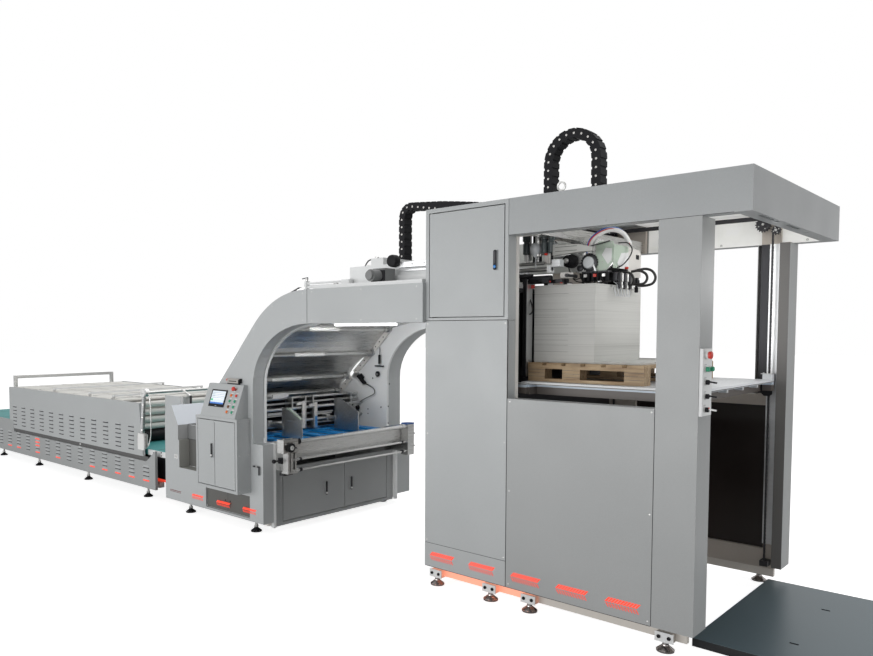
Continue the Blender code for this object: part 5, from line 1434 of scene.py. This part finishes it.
for y in (-0.700, 0.700):
    for z, r, wide in ((0.707, 0.0160, 0.020), (0.610, 0.0180, 0.024)):
        bush = [(0.0115, y), (r, y + 0.003), (r, y + wide), (0.0115, y + wide + 0.003)]
        railing.append((turned("y", RAIL_ROLLER_X, z, bush, 16), dark_steel))
piece("roller_rail_fittings", "machine", railing, 0.0006)
wheel = [
    (turned("x", WHEEL_Y, WHEEL_Z, [
        (0.020, -1.6020), (0.021, -1.5985), (0.016, -1.5965), (0.0155, -1.5995), (0.006, -1.6000),
    ], 24), white_plastic),
    (turned("x", WHEEL_Y, WHEEL_Z, [
        (0.0415, -1.6160), (0.0430, -1.6120), (0.0430, -1.6080), (0.0415, -1.6040), (0.0370, -1.6030),
    ], 30), black),
]
piece("handwheel_rim", "handwheel_body", wheel)

# Console: screen, buttons, the small device on top, latch and leaning face
HEAD_LOW, HEAD_HIGH = 1.080, 1.371
HEAD_FRONT = -1.117
LEAN = 0.106
BUTTON_ROWS = (1.272, 1.222, 1.172, 1.125)
BUTTON_COLUMNS = ((-2.195, (orange, green, brown_button, orange)), (-2.120, (red, green, green, green)))


def on_face(x, z, out):
    """A place that stands out from the leaning front of the console's head; z is its height there."""
    share = (z - HEAD_LOW) / (HEAD_HIGH - HEAD_LOW)
    normal = Vector((0, HEAD_LOW - HEAD_HIGH, LEAN)).normalized()
    return Vector((x, HEAD_FRONT + LEAN * share, z)) + normal * out


def face_box(x0, x1, z0, z1, low, high):
    points = [tuple(on_face(x, z, out)) for out in (low, high) for z in (z0, z1) for x in (x0, x1)]
    return outward(points, BOX_FACES)


def face_turned(x, z, profile):
    """A revolve that stands square on the leaning face, from (radius, height) points."""
    count = 24
    up = Vector((0, LEAN, HEAD_HIGH - HEAD_LOW)).normalized()
    points = []
    for r, out in profile:
        centre = on_face(x, z, out)
        points += [tuple(centre + Vector((a, 0, 0)) + up * b) for a, b in ring(0.0, 0.0, r, count)]
    return skin(points, count)


screen = [
    (face_box(-2.508, -2.272, 1.160, 1.314, -0.002, 0.007), black),
    (face_box(-2.493, -2.287, 1.190, 1.302, 0.0065, 0.0078), screen_light),
    (face_box(-2.493, -2.287, 1.186, 1.200, 0.0076, 0.0086), screen_blue),
    (face_box(-2.488, -2.458, 1.212, 1.230, 0.0076, 0.0086), screen_green),
    (face_box(-2.440, -2.300, 1.225, 1.290, 0.0076, 0.0084), screen_pale),
    (face_box(-2.405, -2.380, 1.166, 1.170, 0.0066, 0.0076), zinc),
]
for z in (1.240, 1.255, 1.270, 1.285):
    screen.append((face_box(-2.485, -2.300, z, z + 0.002, 0.0084, 0.0090), dark_steel))
piece("console_screen", "machine", screen, 0.0008)

mushroom = [(0.012, 0.0), (0.012, 0.014), (0.020, 0.018), (0.022, 0.026), (0.018, 0.032), (0.006, 0.034)]
buttons = [
    (face_turned(-2.170, 1.328, [(0.024, -0.001), (0.024, 0.003), (0.020, 0.004)]), zinc),
    (face_turned(-2.170, 1.328, mushroom), red),
]
BUTTON_R = 0.0138
collar = [(BUTTON_R * 1.30, -0.001), (BUTTON_R * 1.30, 0.004), (BUTTON_R * 1.15, 0.006)]
cap = [(BUTTON_R, 0.002), (BUTTON_R, 0.011), (BUTTON_R * 0.85, 0.0135), (BUTTON_R * 0.30, 0.014)]
tags = []
for x, looks in BUTTON_COLUMNS:
    for z, look in zip(BUTTON_ROWS, looks):
        buttons += [(face_turned(x, z, collar), zinc), (face_turned(x, z, cap), look)]
        tags.append((face_box(x - 0.018, x + 0.018, z + 0.019, z + 0.025, -0.001, 0.0008), white_plastic))
piece("console_buttons", "machine", buttons)
piece("console_tags", "machine", tags)

front = [(-1.005, 1.383), (-0.972, 1.383), (-0.972, 1.425), (-0.990, 1.425), (-1.005, 1.412)]
end_cap = [(-1.006, 1.382), (-0.972, 1.382), (-0.972, 1.426), (-0.989, 1.426), (-1.006, 1.413)]
piece("console_call_box", "machine", [
    (box(-2.330, -2.165, -1.000, -0.972, HEAD_HIGH, 1.385), dark_steel),
    (prism("x", front, -2.330, -2.150), call_grey),
    (box(-2.300, -2.185, -1.0062, -1.004, 1.397, 1.405), black),
    (prism("x", end_cap, -2.158, -2.142), black),
    (turned("x", -0.990, 1.409, [
        (0.013, -2.332), (0.013, -2.344), (0.009, -2.350), (0.003, -2.351),
    ], 18), red),
], 0.002)

button = [(0.010, -1.138), (0.010, -1.1425), (0.008, -1.144), (0.003, -1.1445)]
piece("console_latch", "console_door_left_body", [
    (prism("y", with_cut_corners(
        -2.4128, -2.3872, 0.689, 0.821, 0.0058, 0.007, 0.006,
    ), -1.1385, -1.1365), black),
    (box(-2.4085, -2.3915, -1.1415, -1.138, 0.732, 0.814), dark_steel),
    (turned("y", -2.400, 0.709, button, 18), white_plastic),
], 0.0005)
for body, x in (("console_door_left_body", -2.628), ("console_door_right_body", -2.059)):
    rivet = [(0.0055, -1.1248), (0.0055, -1.1268), (0.002, -1.1275)]
    piece(
        f"{body}_hinges", body, [(turned("y", x, z, rivet, 10), zinc) for z in (0.500, 0.530, 0.930, 0.960)],
    )
piece("console_edge_screws", "machine", [
    (turned("x", y, z, [(0.006, -2.0202), (0.006, -2.0172), (0.003, -2.0160)], 10), zinc)
    for y in (-1.100, -0.995) for z in (0.420, 0.740, 1.045)
])

# Delivery: louvres, red-lit vents, rails, rollers and belts
HOOD_WIDE = 0.140
HOOD_HIGH = 0.020
HOOD_OUT = 0.011
SLOT_HALF = 0.062
UPPER_ROWS = [0.545 + 0.050 * row for row in range(6)]
UPPER_COLUMNS = [-7.585 + i * (7.585 - 4.320) / 11 for i in range(12)]
LOWER_ROWS = [0.230 + 0.0455 * row for row in range(5)]
LOWER_PITCH = 0.315


def louvre(x, z, s):
    """A pressed hood over a slot, on the near or the far panel."""
    half, steps = HOOD_WIDE / 2, 8
    arch = [(k / steps, 0.55 + 0.45 * math.sin(math.pi * k / steps)) for k in range(1, steps)]
    hood = [(-half, 0.0)] + [(-half + HOOD_WIDE * a, HOOD_HIGH * b) for a, b in arch] + [(half, 0.0)]
    points = [(x + a, s * DELIVERY_FACE, z + b) for a, b in hood]
    points += [(x + a * 0.86, s * (DELIVERY_FACE + HOOD_OUT), z + b * 0.15 - 0.001) for a, b in hood]
    count = len(hood)
    faces = [[i, i + 1, count + i + 1, count + i] for i in range(count - 1)]
    faces += [[count - 1 - i for i in range(count)], [count + i for i in range(count)]]
    faces.append([0, count, 2 * count - 1, count - 1])
    return outward(points, faces)


def opening(x, z, s, deep, out):
    """What is seen below a hood, from just under it to `deep` further down; where it is black it is the slot
    with the hood's shadow painted in.
    """
    face = s * DELIVERY_FACE
    return box(x - SLOT_HALF, x + SLOT_HALF, face, face + s * out, z - deep, z - 0.0005)


def is_lit(s, i, row):
    """Whether the red lamps behind the near panel show in a louvre."""
    return s < 0 and (row != 1 if i == 4 else row == 0 and i not in (0, 3, 5, 7, 8))


for s, word in SIDES:
    hoods, slot_shades, lit = [], [], []
    for x in UPPER_COLUMNS:
        for z in UPPER_ROWS:
            hoods.append((louvre(x, z, s), grey))
            slot_shades.append((opening(x, z, s, 0.014, 0.0012), black))
    for i in range(14):
        x = -8.100 + i * LOWER_PITCH
        for row, z in enumerate(LOWER_ROWS):
            if row == 4 and x > -4.05:
                continue
            hoods.append((louvre(x, z, s), grey))
            if is_lit(s, i, row):
                lit.append((opening(x, z, s, 0.019, 0.0030), vent_red))
            else:
                slot_shades.append((opening(x, z, s, 0.013, 0.0012), black))
    for x in (-8.420 - i * LOWER_PITCH for i in range(4)):
        for z in LOWER_ROWS:
            hoods.append((louvre(x, z, s), grey))
            slot_shades.append((opening(x, z, s, 0.014, 0.0012), black))
    piece(f"louvres_{word}", "machine", hoods)
    piece(f"louvre_slot_shades_{word}", "machine", slot_shades)
    if lit:
        piece(f"louvre_lights_{word}", "machine", lit)

# The band between the two panels, painted dark grey as the shade under the upper panel's edge
for s, word in SIDES:
    band = plain(f"band_shade_grey_{word}", (0.10, 0.10, 0.10), 0.6)
    piece(f"panel_band_{word}", "machine", [
        (box(-7.640, -3.990, s * 0.868, s * 0.872, 0.432, 0.478), band),
        (box(-7.600, -4.020, s * 0.872, s * 0.8735, 0.4545, 0.4560), seam),
        (turned("y", -5.600, 0.455, [
            (0.012, s * 0.872), (0.012, s * 0.880), (0.006, s * 0.882),
        ], 16), white_plastic),
    ])

# Levelling feet of the delivery
for i, x in enumerate((-9.500, -8.315, -7.055, -5.595, -4.155)):
    for s, word in SIDES:
        foot(f"delivery_foot_{word}_{i + 1}", x, s * 0.7797, 0.155, black)

# Pressing belts: cream webs, the gaps between them and the bars across
WEBS = ((-0.805, -0.520), (-0.490, -0.190), (-0.160, 0.150), (0.180, 0.490), (0.520, 0.805))
webs = [(box(-7.700, -4.650, y0, y1, 1.0603, 1.0660), cream) for y0, y1 in WEBS]
piece("press_webs", "machine", webs, 0.0015)
between = [(left[1], right[0]) for left, right in zip(WEBS, WEBS[1:])]
gaps = [(box(-7.690, -4.660, a, b, 1.0600, 1.0612), under_web) for a, b in between]
gaps += [(box(x - 0.005, x + 0.005, -0.820, 0.820, 1.0612, 1.0690), zinc) for x in (-6.900, -5.900, -4.900)]
piece("press_web_gaps", "machine", gaps)
bars = []
for x in (-6.450, -5.450, -4.850):
    bars.append((box(x - 0.020, x + 0.020, -0.825, 0.825, 1.090, 1.110), white))
    for s in (-1, 1):
        bars.append((box(x - 0.014, x + 0.014, s * 0.800, s * 0.822, 1.060, 1.092), zinc))
piece("press_cross_bars", "machine", bars, 0.001)

# Entry: roller collars, the back with its cream rollers, and the dark nip roller
collar = [(0.0365, 0.700), (0.0390, 0.704), (0.0390, 0.716), (0.0365, 0.720)]
piece("entry_roller_collars", "machine", [
    (turned("y", -4.560, z, [(r, s * y) for r, y in collar], 20), dark_steel)
    for z in (1.000, 0.910, 0.820, 0.740) for s in (-1, 1)
])
behind = [(box(-4.640, -4.634, -0.818, 0.818, 0.600, 1.050), under_web)]
behind += [(box(-4.634, -4.630, -0.812, 0.812, z - 0.022, z + 0.022), cream) for z in (0.955, 0.865, 0.780)]
piece("entry_back", "machine", behind)
half = [(0.030, 0.828), (0.0612, 0.826), (0.0622, 0.780)]
nip = [(r, -y) for r, y in half] + [(r, y) for r, y in reversed(half)]
piece("nip_roller", "machine", [(turned("y", -4.540, 0.6276, nip, 28), black)])

# Tensioning: a cylinder on each side lifts the cross bar
CAP_OUTLINE = (
    (-4.100, 0.560), (-3.970, 0.560), (-3.966, 0.650), (-3.978, 0.740), (-4.094, 0.740), (-4.102, 0.650),
)
DIAL = ((0.0455, 0.020), (0.0465, 0.024), (0.0465, 0.040), (0.0440, 0.043), (0.0300, 0.044), (0.0280, 0.041))


def tension_post(s):
    """The cap, dial, cylinder and bolts of one side."""

    def at(out):
        return s * (DELIVERY_FACE + 0.0003 + out)

    def from_face(profile):
        return [(r, at(out)) for r, out in profile]

    hub = from_face([(0.016, 0.039), (0.016, 0.048), (0.010, 0.050)])
    bolt = from_face([(0.006, 0.0115), (0.006, 0.0155), (0.003, 0.0165)])
    parts = [
        (prism("y", CAP_OUTLINE, at(0.030), at(0.043)), white_plastic),
        (turned("y", -3.985, 1.190, from_face(DIAL), 32), white_plastic),
        (turned("y", -3.985, 1.190, hub, 20), zinc),
        (bar((-4.036, at(0.021), 0.740), (-3.994, at(0.021), 1.150), 0.030, 0.030, (0, 1, 0)), alu),
        (bar((-4.062, at(0.012), 0.760), (-4.022, at(0.012), 1.200), 0.014, 0.016, (0, 1, 0)), dark_steel),
    ]
    for z in (0.760, 0.900, 1.040):
        band = [(0.018, z), (0.020, z + 0.003), (0.020, z + 0.025), (0.018, z + 0.028)]
        parts.append((turned("z", -4.030 + (z - 0.760) * 0.102, at(0.021), band, 16), zinc))
    for x, z in ((-4.145, 0.610), (-4.145, 0.705), (-4.110, 0.605), (-3.962, 0.660)):
        parts.append((turned("y", x, z, bolt, 8), zinc))
    return parts


piece("tension_posts", "machine", tension_post(-1) + tension_post(1), 0.0008)
bow = [
    (-3.950, -0.880, 1.190), (-3.915, -0.880, 1.100), (-3.905, -0.880, 0.900),
    (-3.912, -0.880, 0.720), (-3.940, -0.892, 0.610),
]
piece("tension_bow", "machine", [(tube(smooth(bow, 6), 0.006, 10), zinc)])

# Transfer: plates beside the belt where it runs into the laminating unit, and the red light below
transfer = []
for s in (-1, 1):
    transfer.append((box(-4.080, -3.670, s * 0.812, s * 0.820, 0.488, 0.552), white))
    transfer += [
        (turned("y", x, z, [(0.008, s * 0.820), (0.008, s * 0.824), (0.004, s * 0.825)], 10), dark_steel)
        for x, z in ((-3.960, 0.522), (-3.800, 0.540), (-3.800, 0.505))
    ]
piece("transfer_plates", "machine", transfer, 0.001)
piece("base_light", "machine", [
    (box(-3.980, -3.690, -0.772, -0.7605, 0.205, 0.234), vent_red),
    (box(-3.985, -3.685, -0.774, -0.7602, 0.234, 0.240), dark_steel),
], 0.001)

# Joints of the delivery belt
splices = [(box(x, x + 0.010, -0.800, 0.800, 0.5568, 0.5578), seam) for x in (-9.300, -8.500, -3.900)]
piece("delivery_belt_splices", "machine", splices)

# The rail is a square tube with a plate over its mitred corners
RAIL_X = -7.890
square = [
    (box(RAIL_X - 0.0235, RAIL_X + 0.0235, s * 0.7255, s * 0.7725, 0.575, 1.2175), steel)
    for s in (-1, 1)
]
square.append((box(RAIL_X - 0.0235, RAIL_X + 0.0235, -0.7250, 0.7250, 1.1725, 1.2175), steel))
piece("handrail_tube", "machine", square, 0.003)
flange = [(0.036, 0.5576), (0.036, 0.5640), (0.026, 0.5665), (0.0215, 0.5720), (0.0206, 0.5900)]
piece("handrail_flanges", "machine", [(turned("z", RAIL_X, y, flange, 20), zinc) for y in (-0.750, 0.750)])

# Cable carriers: link pins, the bridge carrier's foot, and the eyebolts of the tower
LINK = 0.062


def pins(name, path, sides):
    """Round pins at every link, on both sides of a carrier that follows a path."""
    shapes = []
    rest = LINK / 2
    path = [Vector(p) for p in path]
    for p, q in zip(path, path[1:]):
        length = (q - p).length
        while rest < length:
            at = p + (q - p) * (rest / length)
            for y, out in zip(sides, (-0.0012, 0.0012)):
                profile = [(0.0085, y), (0.0085, y + out * 0.7), (0.0065, y + out)]
                shapes.append((turned("y", at.x, at.z, profile, 10), off_white))
            rest += LINK
        rest -= length
    piece(name, "machine", shapes)


def bend(x, z, r, step, count):
    """Places in steps of some degrees round (x, z), from its left side over the top."""
    turns = [math.radians(180 - step * k) for k in range(1, count + 1)]
    return [(a, 0, b) for a, b in (around(x, z, r, t) for t in turns)]


rise = [(0.466, 0, 2.735), (0.466, 0, 3.128)] + bend(0.6605, 3.128, 0.1945, 10, 18) + [(0.855, 0, 2.735)]
pins("feeder_carrier_pins", rise, (-0.050, 0.050))
droop = [(0.100 - 0.840 * (1 - t), 0, 2.890 - 0.100 * t ** 1.4) for t in (0.4, 0.6, 0.8, 1.0)]
run = [(-0.830, 0, 2.475), (-0.830, 0, 2.832)] + bend(-0.740, 2.832, 0.090, 15, 6) + droop
pins("bridge_carrier_pins", run, (-0.250, -0.150))
piece("bridge_carrier_foot", "machine", [
    (box(0.020, 0.100, -0.256, -0.144, 2.7303, 2.740), white),
    (box(0.046, 0.074, -0.258, -0.252, 2.740, 2.855), white),
    (box(0.046, 0.074, -0.148, -0.142, 2.740, 2.855), white),
], 0.001)

for word, y in (("near", -0.880), ("far", 0.880)):
    x, z = 1.049, TOWER_TOP
    loop = [(a, y, b) for a, b in (around(x, z + 0.040, 0.026, 2 * math.pi * k / 20) for k in range(21))]
    collar = [(0.019, z), (0.020, z + 0.004), (0.014, z + 0.012), (0.010, z + 0.018)]
    piece(f"eyebolt_{word}", "machine", [
        (tube(loop, 0.0065, 10), zinc), (turned("z", x, y, collar, 16), zinc),
    ])
